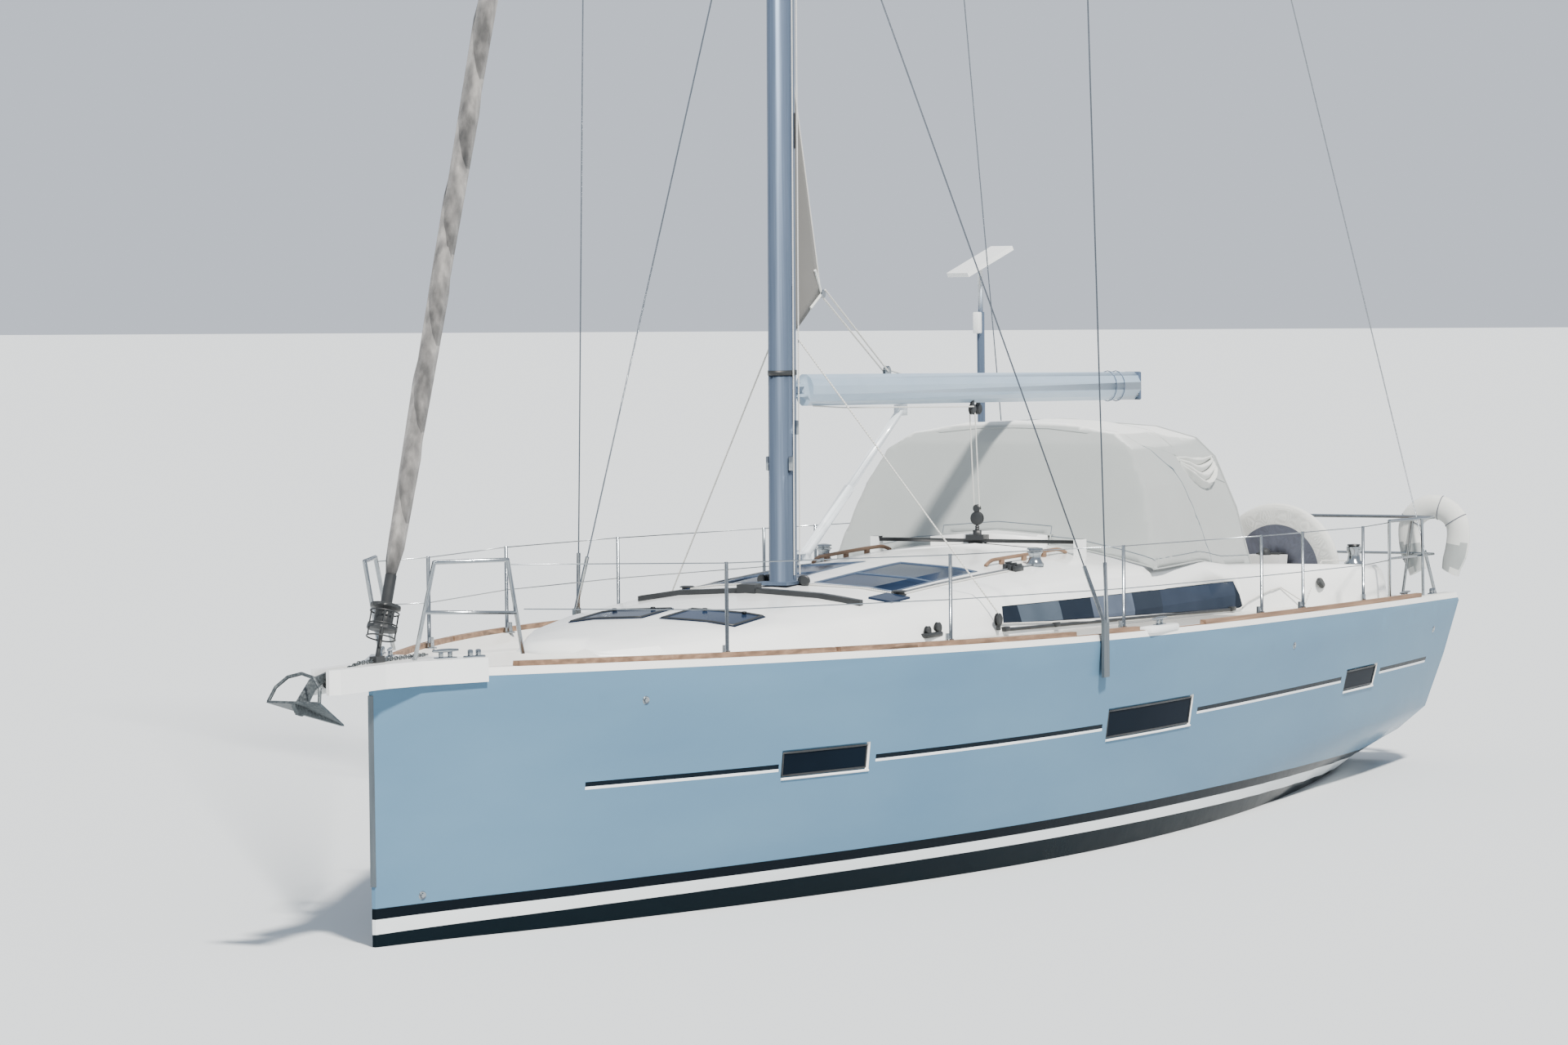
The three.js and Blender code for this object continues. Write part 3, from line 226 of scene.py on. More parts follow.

# %% [markdown]
# ## Gelcoat
# The shell is polyester gelcoat with a faint orange peel. The real one is glossy and looks dark and deep.
# Here it would mirror a pale floor, so its specular level is kept low, and its sides are set a dark blue
# grey that holds painted shade and a painted reflection of dark water. Boot stripes follow the waterline
# with a slight bend: a dark one, a white one, and a dark band under them. Each is painted over the last
# by the position on the hull.

# %% Topsides gelcoat
SHEER_Z, SHEER_SLOPE, SHEER_BOW = 1.465, 0.0203, 0.00021
FULLEST_X = 1.3
# The sides' dark blue grey holds painted shade and a painted reflection of dark water.
topsides = finish("topsides_gelcoat", "5B7B92", 0.24, Specular_IOR_Level=0.04)
place = stretched(topsides)
along, _, height = axes_of(topsides, place)
bands = mixed(topsides, noise(topsides, stretched(topsides, 0.4, 0.4, 1.2), 1.4), "52738C", "65859B")


def sums(operation, *values):
    """One sum among the topsides' own nodes."""
    return sum_of(topsides, operation, *values)


def painted(under, factor, colour):
    """Paints one band over what is under it."""
    return mixed(topsides, factor, under, colour)


def below(level, bend):
    """1 under a line that is highest where the hull is fullest and falls a little towards both ends."""
    from_middle = sums("SUBTRACT", along, FULLEST_X)
    fall = sums("MULTIPLY", sums("MULTIPLY", from_middle, from_middle), bend)
    return sums("LESS_THAN", sums("ADD", height, fall), level)


BOOT_STRIPES = [(0.29, 0.0018, "0B1218"), (0.223, 0.0018, "DDE2E3"), (0.152, 0.0025, "0A151B")]
for level, bend, colour in BOOT_STRIPES:
    bands = painted(bands, below(level, bend), colour)
print(len(BOOT_STRIPES), "boot stripes")

# %% [markdown]
# A thin groove is moulded along the topsides at half height and stops at each window. Its shade and the
# light on its lower lip are painted: a dark line of painted shade over a white line of painted highlight.
# A white edge follows the sheer, under the rail.

# %% Groove and gunwale
GROOVE_RUNS = [(5.38, 3.90), (3.04, 0.456), (-1.06, -4.03), (-4.97, -6.22)]
# A painted highlight on the groove's lower lip, and painted shade in the groove above it.
GROOVE_SHADE_AND_HIGHLIGHT = [(0.869, 0.009, "E6EAEB"), (0.893, 0.015, "0F1820")]
GUNWALE_OVER_SHEER = 0.024
runs = None
for front, back in GROOVE_RUNS:
    from_middle = sums("ABSOLUTE", sums("SUBTRACT", along, (front + back) / 2))
    inside = sums("LESS_THAN", from_middle, (front - back) / 2)
    runs = inside if runs is None else sums("MAXIMUM", runs, inside)
for middle, half, colour in GROOVE_SHADE_AND_HIGHLIGHT:
    from_line = sums("ABSOLUTE", sums("SUBTRACT", height, middle))
    bands = painted(bands, sums("MULTIPLY", sums("LESS_THAN", from_line, half), runs), colour)
sheer = sums("MULTIPLY_ADD", along, SHEER_SLOPE, SHEER_Z)
bow_rise = sums("MULTIPLY", sums("MULTIPLY", along, along), SHEER_BOW)
over_sheer = sums("SUBTRACT", height, sums("ADD", sheer, bow_rise))
gunwale = sums("GREATER_THAN", over_sheer, GUNWALE_OVER_SHEER)
feed(topsides, "Base Color", painted(bands, gunwale, "F2F2EE"))
feed(topsides, "Roughness", spread(topsides, noise(topsides, place, 2.2), 0.14, 0.26))
relief(topsides, noise(topsides, place, 9.0), 0.0015)
print(len(GROOVE_RUNS), "lengths of groove a side")

# %% [markdown]
# Decks use a warmer white, with moulded non-skid panels where people walk. The real grain is under
# three millimetres; it is drawn at eight so that it shows. Only faces that look up carry it.

# %% Deck gelcoat
NEARLY_LEVEL = 0.93
deck_white = finish("deck_gelcoat", "F1EFE9", 0.28, Coat_Weight=0.2, Coat_Roughness=0.08)
place = stretched(deck_white)
walked = sum_of(deck_white, "GREATER_THAN", facing_up(deck_white), NEARLY_LEVEL)
grain = add(deck_white, "TexVoronoi", {"Scale": 125.0}, {"Vector": place}).outputs["Distance"]
dirt = noise(deck_white, place, 1.7, 4.0)
plain = mixed(deck_white, dirt, "F4F2EC", "E9E7E0")
feed(deck_white, "Base Color", mixed(deck_white, walked, plain, mixed(deck_white, dirt, "E9E8E3", "DEDDD7")))
feed(deck_white, "Roughness", sum_of(deck_white, "MULTIPLY_ADD", walked, 0.35, 0.24))
relief(deck_white, sum_of(deck_white, "MULTIPLY", grain, walked), 0.0012)

smooth_white = mottled("smooth_gelcoat", "EEF0EE", 0.22, ("F2F3F1", "E6E9E8", 2.0), (6.0, 0.18, 0.3),
                       (14.0, 0.0006), Coat_Weight=0.3, Coat_Roughness=0.05)
print("two deck whites")

# %% [markdown]
# ## Metals
# Rails and rods are polished 316 stainless steel with fine draw lines, and the chainplates and the
# stem's plate are brushed. The mast is clear anodised aluminium, satin and blue grey, the boom is the
# same tube painted silver, and the vang is white. The steels, the mast and the boom would mirror a pale
# floor here, so they are set darker than they are: painted shade and painted reflection.

# %% Metals
stainless = mottled("polished_stainless", "9CA2A6", 0.16, ("A6ACB0", "878D92", 0.6), (1.5, 0.1, 0.28),
                    stretch=(60, 60, 60), Metallic=1.0)
brushed = mottled("brushed_stainless", "5F676C", 0.5, ("525A5F", "717A80", 1.0), (2.0, 0.42, 0.58),
                  stretch=(40, 40, 3), Metallic=0.7)
painted_spar = mottled("white_painted_aluminium", "EEF0F1", 0.26, ("E3E9ED", "D5DDE3", 1.3),
                       (4.0, 0.2, 0.34), stretch=(2, 12, 12), Coat_Weight=0.4, Coat_Roughness=0.08)
# The boom's silver is set darker than its paint: painted shade.
silver_spar = mottled("silver_painted_aluminium", "A0B2C2", 0.3, ("8A9FB3", "9DB0C0", 1.3),
                      (4.0, 0.24, 0.38), stretch=(2, 12, 12), Coat_Weight=0.2, Coat_Roughness=0.1)
bronze = mottled("propeller_bronze", "9A7B4A", 0.35, ("A5844E", "6F6243", 18.0), Metallic=1.0)
antifouling = mottled("antifouling_paint", "22323A", 0.85, ("1C2A31", "2E4149", 5.0, 6.0),
                      bumps=(70.0, 0.0008))

anodised = finish("anodised_aluminium", "677589", 0.36, Metallic=0.7)
drawn = noise(anodised, stretched(anodised, 90, 90, 1.2), 1.0, 2.0)
feed(anodised, "Base Color", mixed(anodised, drawn, "58687D", "707F94"))
feed(anodised, "Roughness", spread(anodised, drawn, 0.3, 0.45))
relief(anodised, drawn, 0.0002)

galvanised = finish("galvanised_steel", "5A6062", 0.55, Metallic=0.8)
place = stretched(galvanised)
spangle = add(galvanised, "TexVoronoi", {"Scale": 90.0}, {"Vector": place}).outputs["Color"]
cells = axes_of(galvanised, spangle)[0]
feed(galvanised, "Base Color", mixed(galvanised, cells, "474D50", "6B7173"))
feed(galvanised, "Roughness", spread(galvanised, cells, 0.42, 0.66))
relief(galvanised, noise(galvanised, place, 60.0), 0.0006)
print("metals and paint")

# %% [markdown]
# ## Teak, plastic and glass
# Teak weathers to a soft grey brown and its grain runs along the boat. On the cockpit's sole and seats it
# is laid in planks of five centimetres with black caulk between them. Deck hardware is glass filled
# nylon, black and slightly chalky.

# %% Teak and plastic
PLANK, CAULK_SHARE = 0.05, 0.11
teak = finish("weathered_teak", "8B7460", 0.7)
grain = noise(teak, stretched(teak, 1.5, 34, 34), 1.0, 6.0)
feed(teak, "Base Color", ramp(teak, grain, (0.25, "5A4535"), (0.5, "7A5F4A"), (0.75, "977A62")))
feed(teak, "Roughness", spread(teak, grain, 0.6, 0.82))
relief(teak, grain, 0.0012)

laid_teak = finish("laid_teak", "A07C5C", 0.72)
sideways = axes_of(laid_teak, stretched(laid_teak))[1]
plank = sum_of(laid_teak, "FRACT", sum_of(laid_teak, "MULTIPLY", sideways, 1 / PLANK))
caulk = sum_of(laid_teak, "LESS_THAN", plank, CAULK_SHARE)
grain = noise(laid_teak, stretched(laid_teak, 2, 40, 40), 1.0, 6.0)
wood = ramp(laid_teak, grain, (0.25, "7D5C42"), (0.5, "A07C5C"), (0.8, "BC9A79"))
feed(laid_teak, "Base Color", mixed(laid_teak, caulk, wood, "1B1A19"))
relief(laid_teak, sum_of(laid_teak, "SUBTRACT", grain, caulk), 0.001)

plastic = mottled("black_nylon", "1D1F21", 0.45, ("16181A", "2B2E30", 12.0, 5.0), (25.0, 0.35, 0.6),
                  (220.0, 0.0003))
print("teak and plastic")

# %% [markdown]
# The windows are dark tinted acrylic, smooth and nearly black. The cabin's long window is one sheet,
# and some of its lengths are painted paler as painted reflections, so a slanted ramp steps between tones.

# %% Acrylic
acrylic = mottled("tinted_acrylic", "0D141C", 0.12, ("0A1017", "141E29", 1.1), (3.0, 0.07, 0.16),
                  Specular_IOR_Level=0.012, IOR=1.49)
hatch_acrylic = mottled("smoked_hatch_acrylic", "141E2B", 0.1, ("111925", "26364F", 1.6),
                        (4.0, 0.06, 0.16), Specular_IOR_Level=0.02, IOR=1.49)

PANE_FRONT, PANE_BACK, PANE_SLANT = 0.85, -3.1, 0.35
cabin_acrylic = finish("cabin_side_acrylic", "121A24", 0.1, Specular_IOR_Level=0.04, IOR=1.49)
place = stretched(cabin_acrylic)
fore_and_aft, _, height = axes_of(cabin_acrylic, place)
slanted = sum_of(cabin_acrylic, "MULTIPLY_ADD", height, PANE_SLANT, fore_and_aft)
pane = add(cabin_acrylic, "MapRange", {"From Min": PANE_FRONT, "From Max": PANE_BACK}, {"Value": slanted})
# Dark tones are the tinted sheet; the pale ones are painted reflections.
GLASS_AND_REFLECTION_TONES = [(0.0, "10161E"), (0.02, "5A6672"), (0.18, "161D26"), (0.31, "6B7688"), (0.49, "2A313B"),
         (0.62, "343D4C"), (0.965, "10161E")]
glass_and_reflections = ramp(cabin_acrylic, pane.outputs["Result"], *GLASS_AND_REFLECTION_TONES, interpolation="CONSTANT")
feed(cabin_acrylic, "Base Color", mixed(cabin_acrylic, noise(cabin_acrylic, place, 1.6), glass_and_reflections, "1B2430"))
feed(cabin_acrylic, "Roughness", spread(cabin_acrylic, noise(cabin_acrylic, place, 3.0), 0.05, 0.12))
print("three acrylics")

# %% [markdown]
# ## Cloth and rope
# The hood and the covers are acrylic canvas in a plain weave, two threads to the millimetre; the weave
# is drawn five times coarser so that it shows. The sun stands on the hood's top, so its cloth is painted
# paler where it looks up: painted sunlight.


# %% Canvas
def woven(name, light, dark, roughness, thread=0.0025, depth=0.0004, sheen=0.25):
    """A plain weave: two sets of threads crossing, with slow changes of colour as in sun-bleached cloth."""
    material = finish(name, light, roughness, Sheen_Weight=sheen, Sheen_Roughness=0.5)
    place = stretched(material)
    x, y, z = axes_of(material, place)
    turns = 2 * math.pi / thread
    slant = sum_of(material, "SUBTRACT", z, y)
    warp = sum_of(material, "SINE", sum_of(material, "MULTIPLY", x, turns))
    weft = sum_of(material, "SINE", sum_of(material, "MULTIPLY", slant, turns))
    feed(material, "Base Color", mixed(material, noise(material, place, 1.8, 4.0), light, dark))
    relief(material, sum_of(material, "MULTIPLY", warp, weft), depth)
    return material


canvas_grey = woven("grey_canvas", "A9AEAC", "9BA1A0", 0.9)
canvas_white = woven("white_canvas", "E6E7E2", "D3D6D2", 0.9)
canvas_trim = woven("slate_canvas", "5F6E7A", "505E6B", 0.85)
panel_grey = woven("dark_grey_canvas", "5D6270", "4E5362", 0.85)
strip_cloth = woven("weathered_sailcloth", "64635F", "53514E", 0.75, thread=0.004, depth=0.0003, sheen=0.1)

hood_canvas = woven("hood_canvas", "A9AEAC", "9BA1A0", 0.9)
on_top_side = facing_up(hood_canvas)
# Painted sunlight: faces that look up are painted paler.
painted_sunlit_top = add(hood_canvas, "MapRange", {"From Min": 0.74, "From Max": 0.9}, {"Value": on_top_side})
hood_grey = mixed(hood_canvas, noise(hood_canvas, stretched(hood_canvas), 1.8, 4.0), "A9AEAC", "9BA1A0")
feed(hood_canvas, "Base Color", mixed(hood_canvas, painted_sunlit_top.outputs["Result"], hood_grey, "F0F2EF"))
print("six canvases")

# %% [markdown]
# The rolled jib shows only the grey strip that keeps the sun off its edge. Its turns climb the roll, so
# a saw-tooth that rises with height and with the way round paints shade onto each turn, and weather mottles
# it.
# Ropes are braided polyester, drawn as a diagonal twill along their length.

# %% Sun strip and rope
TURN_RISE, STRAND, FLECK_FROM = 0.55, 0.012, 0.75
sun_strip = woven("sun_strip_cloth", "9A938A", "77716A", 0.85)
_, y, z = axes_of(sun_strip, stretched(sun_strip))
climb = sum_of(sun_strip, "MULTIPLY_ADD", y, 3.2, z)
rolled = sum_of(sun_strip, "FRACT", sum_of(sun_strip, "MULTIPLY", climb, 1 / TURN_RISE))
mottle = noise(sun_strip, stretched(sun_strip, 9, 9, 4), 1.6, 5.0)
# Painted shade that steps with each turn, mixed with weather mottling.
turn_shade_and_weather = sum_of(sun_strip, "MULTIPLY_ADD", rolled, 0.2, sum_of(sun_strip, "MULTIPLY", mottle, 0.85))
feed(sun_strip, "Base Color", ramp(sun_strip, turn_shade_and_weather, (0.25, "232425"), (0.42, "4B4A49"), (0.58, "6E6C6A"),
                                   (0.75, "96938F")))


def braid(name, colour, fleck):
    """A braided rope: slanting strands every few millimetres, with a fleck thread."""
    material = finish(name, colour, 0.8, Sheen_Weight=0.2, Sheen_Roughness=0.5)
    x, y, z = axes_of(material, stretched(material))
    slant = sum_of(material, "ADD", x, sum_of(material, "ADD", y, z))
    strand = sum_of(material, "SINE", sum_of(material, "MULTIPLY", slant, 2 * math.pi / STRAND))
    flecked = sum_of(material, "GREATER_THAN", strand, FLECK_FROM)
    feed(material, "Base Color", mixed(material, flecked, colour, fleck))
    relief(material, strand, 0.0008)
    return material


rope_white = braid("white_braid", "D9D7CF", "8F969C")
rope_dark = braid("dark_braid", "3A4048", "8C949B")
print("sun strip and two ropes")

# %% [markdown]
# ## Making pieces
# A piece that is made here starts as a bmesh shape or as a curve. Each becomes an object at the origin
# with its place in its mesh, smooth shading up to a crease angle, one finish, and a body to ride on.


# %% Piece helpers
def settle(name, mesh, material, body, crease=32.0):
    """Makes a finished piece of a mesh: a name, a finish, smooth faces, and the body it moves with."""
    mesh.name = name
    if material:
        mesh.materials.append(material)
    for face in mesh.polygons:
        face.use_smooth = True
    mesh.set_sharp_from_angle(angle=math.radians(crease))
    piece = bpy.data.objects.new(name, mesh)
    bpy.context.scene.collection.objects.link(piece)
    if body:
        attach(piece, body)
    return piece


def from_shape(name, shape, material, body="boat", crease=32.0):
    """A piece from a bmesh, with doubled points joined and the faces turned outwards."""
    bmesh.ops.remove_doubles(shape, verts=shape.verts, dist=1e-5)
    bmesh.ops.recalc_face_normals(shape, faces=shape.faces)
    mesh = bpy.data.meshes.new(name)
    shape.to_mesh(mesh)
    shape.free()
    return settle(name, mesh, material, body, crease)


def bars(name, paths, radius, material, body="boat", smooth=False, rings=2):
    """Round bars or ropes: a curve along each path, given a round section and made a mesh."""
    curve = bpy.data.curves.new(name + "_path", "CURVE")
    curve.dimensions = "3D"
    curve.bevel_depth = radius
    curve.bevel_resolution = rings
    curve.use_fill_caps = True
    curve.resolution_u = 6
    for path in paths:
        line = curve.splines.new("NURBS" if smooth else "POLY")
        line.points.add(len(path) - 1)
        for point, place in zip(line.points, path):
            point.co = (*place, 1.0)
        if smooth:
            line.order_u = min(4, len(path))
            line.use_endpoint_u = True
    holder = bpy.data.objects.new(name + "_path", curve)
    mesh = bpy.data.meshes.new_from_object(holder)
    bpy.data.objects.remove(holder)
    bpy.data.curves.remove(curve)
    return settle(name, mesh, material, body, 50.0)


print("piece helpers ready")

# %% [markdown]
# ## Finishes on the solids
# A solid whose shape is right keeps its place, but its mesh is loose triangles that shade flat. A merged
# copy stands in, shaded smooth between its creases. The hull's copy carries three finishes: its sides
# and its ends are topsides, the cockpit's sole and seats are laid teak, and all the rest is deck.


# %% Dress the hull
SKIN_CREASE = 28.0


def merged(node):
    """A solid's triangles as one shape, with the points that they share joined."""
    shape = bmesh.new()
    shape.from_mesh(nodes[node].data)
    bmesh.ops.remove_doubles(shape, verts=shape.verts, dist=2e-5)
    return shape


def dress(node, material, body="boat"):
    """Stands a merged, smooth-shaded copy in for a solid."""
    shape = merged(node)
    mesh = bpy.data.meshes.new(node + "_skin")
    shape.to_mesh(mesh)
    shape.free()
    piece = settle(node + "_skin", mesh, material, body, SKIN_CREASE)
    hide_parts(node)
    return piece


SIDE_SLOT, DECK_SLOT, TEAK_SLOT = 0, 1, 2
SOLE, SEAT, LEVEL_GAP = 0.83, 1.23, 0.012
COCKPIT_FRONT, COCKPIT_BACK, COCKPIT_HALF = -3.0, -6.6, 1.62
WELL_FRONT, WELL_FLOOR, WELL_HALF = -4.8, 0.6, 1.64
HULL_END, SIDE_OVER_SHEER, SIDE_FOOT = 6.5, 0.07, 0.2


def hull_slot(face):
    """The finish that a face of the hull takes."""
    x, y, z = face.center
    level = abs(z - SOLE) < LEVEL_GAP or (abs(z - SEAT) < LEVEL_GAP and x < COCKPIT_FRONT)
    if level and face.normal.z > 0.97 and abs(y) < COCKPIT_HALF and COCKPIT_BACK < x < COCKPIT_FRONT:
        return TEAK_SLOT
    outward = face.normal.y * (1 if y > 0 else -1)
    sheer_height = SHEER_Z + SHEER_SLOPE * x + SHEER_BOW * x * x
    on_side = z < sheer_height + SIDE_OVER_SHEER and (outward > 0.12 or z < SIDE_FOOT)
    on_end = (face.normal.x < -0.5 and x < -HULL_END) or (face.normal.x > 0.5 and x > HULL_END)
    in_helm_well = abs(y) < WELL_HALF and z > WELL_FLOOR and x < WELL_FRONT
    return SIDE_SLOT if on_side and not in_helm_well or on_end else DECK_SLOT


hull_skin = dress("hull", topsides)
hull_skin.data.materials.append(deck_white)
hull_skin.data.materials.append(laid_teak)
for face in hull_skin.data.polygons:
    face.material_index = hull_slot(face)
print(len(hull_skin.data.polygons), "faces on the hull's skin")

# %% [markdown]
# A side shows every flaw in its shading. The hull's sides are long thin triangles here, so the shading
# is steadied in two steps: the faces are sliced into short lengths, and each corner then gets the mean
# direction of the shell for half a metre around it instead of that of its own few faces.


# %% Slices along the sides
def cut_across(shape, axis, level, faces=None):
    """Cuts the faces of a shape, or some of them, along a plane across one axis."""
    if faces is None:
        parts = shape.verts[:] + shape.edges[:] + shape.faces[:]
    else:
        edges = list(dict.fromkeys(edge for face in faces for edge in face.edges))
        parts = list(dict.fromkeys(vertex for face in faces for vertex in face.verts)) + edges + faces
    point, normal = Vector((0, 0, 0)), Vector((0, 0, 0))
    point[axis], normal[axis] = level, 1
    bmesh.ops.bisect_plane(shape, geom=parts, plane_co=point, plane_no=normal)


SLICES = [(0, -6.6, 6.7, 0.35), (2, -0.45, 1.5, 0.15)]
shape = bmesh.new()
shape.from_mesh(hull_skin.data)
for axis, first, last, step in SLICES:
    for i in range(int((last - first) / step) + 1):
        sides = [face for face in shape.faces if face.material_index == SIDE_SLOT]
        cut_across(shape, axis, first + i * step, sides)
shape.to_mesh(hull_skin.data)
shape.free()
print(len(hull_skin.data.polygons), "faces after slicing")


# %% Even shading along the sides
def tree_of(mesh):
    """A mesh's faces, sorted so that the nearest one is found quickly."""
    places = [vertex.co for vertex in mesh.vertices]
    return BVHTree.FromPolygons(places, [face.vertices[:] for face in mesh.polygons])


ABREAST = 3.0
hull_tree = tree_of(nodes["hull"].data)


def hull_hit(x, side, z):
    """Where a level line from outside meets the hull's side, and the direction of the shell there."""
    return hull_tree.ray_cast(Vector((x, side * ABREAST, z)), Vector((0, -side, 0)))


def steady_normal(place):
    """The mean direction of the shell round a place on its side."""
    side = 1 if place.y > 0 else -1
    total = Vector((0, 0, 0))
    for along_hull in (-0.5, -0.25, 0, 0.25, 0.5):
        for up in (-0.09, 0, 0.09):
            hit = hull_hit(place.x + along_hull, side, place.z + up)
            if hit[0] and hit[1].y * side > 0.15:
                total += hit[1]
    return total.normalized()


mesh = hull_skin.data
steady = {}
loop_normals = [Vector((0, 0, 0))] * len(mesh.loops)
for face in mesh.polygons:
    if face.material_index == SIDE_SLOT and abs(face.normal.y) > 0.3:
        for loop in face.loop_indices:
            vertex = mesh.loops[loop].vertex_index
            if vertex not in steady:
                steady[vertex] = steady_normal(mesh.vertices[vertex].co)
            loop_normals[loop] = steady[vertex]
mesh.normals_split_custom_set(loop_normals)
print(len(steady), "steadied corners of", len(mesh.vertices))

# %% [markdown]
# Each other solid has one row in a table: its finish, the body it moves with, and its name. A lid or a
# hatch moves on a body of its own name. Some solids are two things in one, such as a white plinth under
# a black track, so below a height they take a second finish.


# %% Finishes by node
def sides_of(*names):
    """The names of nodes that stand on both sides of the boat."""
    return [name + side for name in names for side in ("_port", "_starboard")]


OWN = None
HULL_WINDOWS = sides_of("hull_window_forward", "hull_window_middle", "hull_window_aft")
FINISHES = [
    (smooth_white, "boat", ["deck_moulding", "bow_moulding", *sides_of("steering_pedestal"),
                            "satellite_panel"]),
    (smooth_white, OWN, ["transom_platform", "anchor_locker_lid", "companionway_hatch"]),
    (brushed, "boat", ["stem_plate"]),
    (stainless, "boat", [*sides_of("pulpit", "pushpit", "lifelines", "shrouds"), "backstays",
                         *sides_of("winch")]),
    (stainless, "port_wheel", ["wheel_port"]),
    (stainless, "starboard_wheel", ["wheel_starboard"]),
    (anodised, "boat", ["mast"]),
    (silver_spar, "boom", ["boom"]),
    (painted_spar, "boom", ["vang"]),
    (galvanised, "boat", ["anchor"]),
    (bronze, OWN, ["propeller"]),
    (antifouling, "boat", ["keel", "saildrive"]),
    (antifouling, OWN, ["rudder"]),
    (teak, "boat", sides_of("toe_rail") + ["washboard", "cockpit_table"]),
    (laid_teak, OWN, sides_of("seat_locker_lid")),
    (plastic, "boat", ["traveller", "jib_track", "furler_drum"]),
    (plastic, OWN, ["bow_roller"]),
    (hatch_acrylic, "boat", sides_of("skylight")),
    (hatch_acrylic, OWN, sides_of("fore_hatch")),
    (cabin_acrylic, "boat", sides_of("cabin_window")),
    (acrylic, "boat", HULL_WINDOWS),
]
SECOND_FINISH = {
    "traveller": (smooth_white, 2.03),
    "shrouds_port": (brushed, 1.72),
    "shrouds_starboard": (brushed, 1.72),
    "satellite_panel": (anodised, 4.0),
}
for material, body, names in FINISHES:
    for name in names:
        piece = dress(name, material, body or name)
        if name in SECOND_FINISH:
            second, highest = SECOND_FINISH[name]
            piece.data.materials.append(second)
            for face in piece.data.polygons:
                face.material_index = 1 if face.center.z < highest else 0
print(sum(len(names) for _, _, names in FINISHES), "solids dressed")

# %% [markdown]
# ## Sprayhood
# The hood over the companionway is canvas stretched on bent steel bows. The frame's solid already has
# the right outline, so its outer faces are taken as the cloth's pattern: they are sliced into small
# cells and eased with a little smoothing, so that the corners turn softly.

# %% Sprayhood cloth
HOOD_MIDDLE = Vector((-3.3, 0, 1.7))
HOOD_SPANS = [(-4.35, -2.1), (-1.28, 1.28), (1.4, 2.95)]
HOOD_AFT, CELL = -4.345, 0.06
hood = merged("sprayhood")
inner = []
for face in hood.faces:
    centre = face.calc_center_median()
    on_aft_edge = centre.x < HOOD_AFT and face.normal.x < -0.9
    if face.normal.dot(centre - HOOD_MIDDLE) < 0 or on_aft_edge or face.normal.z < -0.3:
        inner.append(face)
bmesh.ops.delete(hood, geom=inner, context="FACES")
bmesh.ops.dissolve_limit(hood, angle_limit=0.01, verts=hood.verts, edges=hood.edges)
for axis, (low, high) in enumerate(HOOD_SPANS):
    for step in range(1, int((high - low) / CELL)):
        cut_across(hood, axis, low + step * CELL)
loose = [vertex for vertex in hood.verts if not vertex.is_boundary]
for _ in range(2):
    bmesh.ops.smooth_vert(hood, verts=loose, factor=0.5, use_axis_x=True, use_axis_y=True, use_axis_z=True)
print(len(hood.faces), "cells of cloth")

# %% [markdown]
# Between the bows the cloth sinks by a centimetre, as stretched canvas does. Low on its sides nothing
# stretches it, so it falls in slack creases there. It also widens a little toward its forward foot.

# %% Sprayhood sag
BOWS = [-2.5, -3.34, -4.33]
DEEPEST, PLEAT, CREASE = 0.012, 0.003, 0.011
WIDENING = 0.055
FREE_BELOW, FREE_OUTSIDE = 2.5, 0.9
for vertex in hood.verts:
    vertex.co.y *= 1 + WIDENING * min(1.0, max(0.0, vertex.co.x - HOOD_MIDDLE.x))
for vertex in loose:
    x, y, z = vertex.co
    for front, back in zip(BOWS, BOWS[1:]):
        if back < x < front:
            between = math.sin(math.pi * (x - back) / (front - back))
            outward = Vector((0, y, max(z - 1.9, 0))).normalized()
            pleat = 0.5 + 0.5 * math.sin(9 * y + 14 * z)
            vertex.co -= outward * ((DEEPEST + PLEAT * pleat) * between)
    if abs(y) > FREE_OUTSIDE and z < FREE_BELOW:
        slack = min(1.0, (FREE_BELOW - z) / 0.35) * min(1.0, (abs(y) - FREE_OUTSIDE) / 0.1)
        vertex.co.y += math.copysign(CREASE * slack * math.sin(26 * x + 9 * z), y)
print(len(loose), "points eased between", len(BOWS), "bows")


# %% Sprayhood piece
def borders(shape):
    """The open edges of a shape, followed from corner to corner into whole lines."""
    left = [edge for edge in shape.edges if edge.is_boundary]
    lines = []
    while left:
        edge = left.pop(0)
        line = [edge.verts[0], edge.verts[1]]
        while True:
            following = next((other for other in line[-1].link_edges if other in left), None)
            if following is None:
                break
            left.remove(following)
            line.append(following.other_vert(line[-1]))
        lines.append([vertex.co.copy() for vertex in line])
    return lines


def thicken(piece, name, thickness, offset=-1):
    """Gives a sheet its wall: inwards at -1 and outwards at 1."""
    wall = piece.modifiers.new(name, "SOLIDIFY")
    wall.thickness = thickness
    wall.offset = offset


def area_of(piece):
    """The area of a piece's faces."""
    return sum(face.area for face in piece.data.polygons)


hood_edges = borders(hood)
sprayhood = from_shape("sprayhood_cloth", hood, hood_canvas, crease=60)
thicken(sprayhood, "canvas_thickness", 0.003)
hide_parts("sprayhood")
hood_tree = BVHTree.FromObject(sprayhood, bpy.context.evaluated_depsgraph_get())
print("cloth area", round(area_of(sprayhood), 2), "m2, open edges:", len(hood_edges))

# %% [markdown]
# ## Wheel cover
# A bag of canvas keeps the sun off the port wheel: two white rings with a dark panel in the middle of
# each face, drawn over the rim with elastic. It is spun from its profile, then pulled in a little
# between the spokes so that the faces ripple. Many fittings further on are turned in the same way.


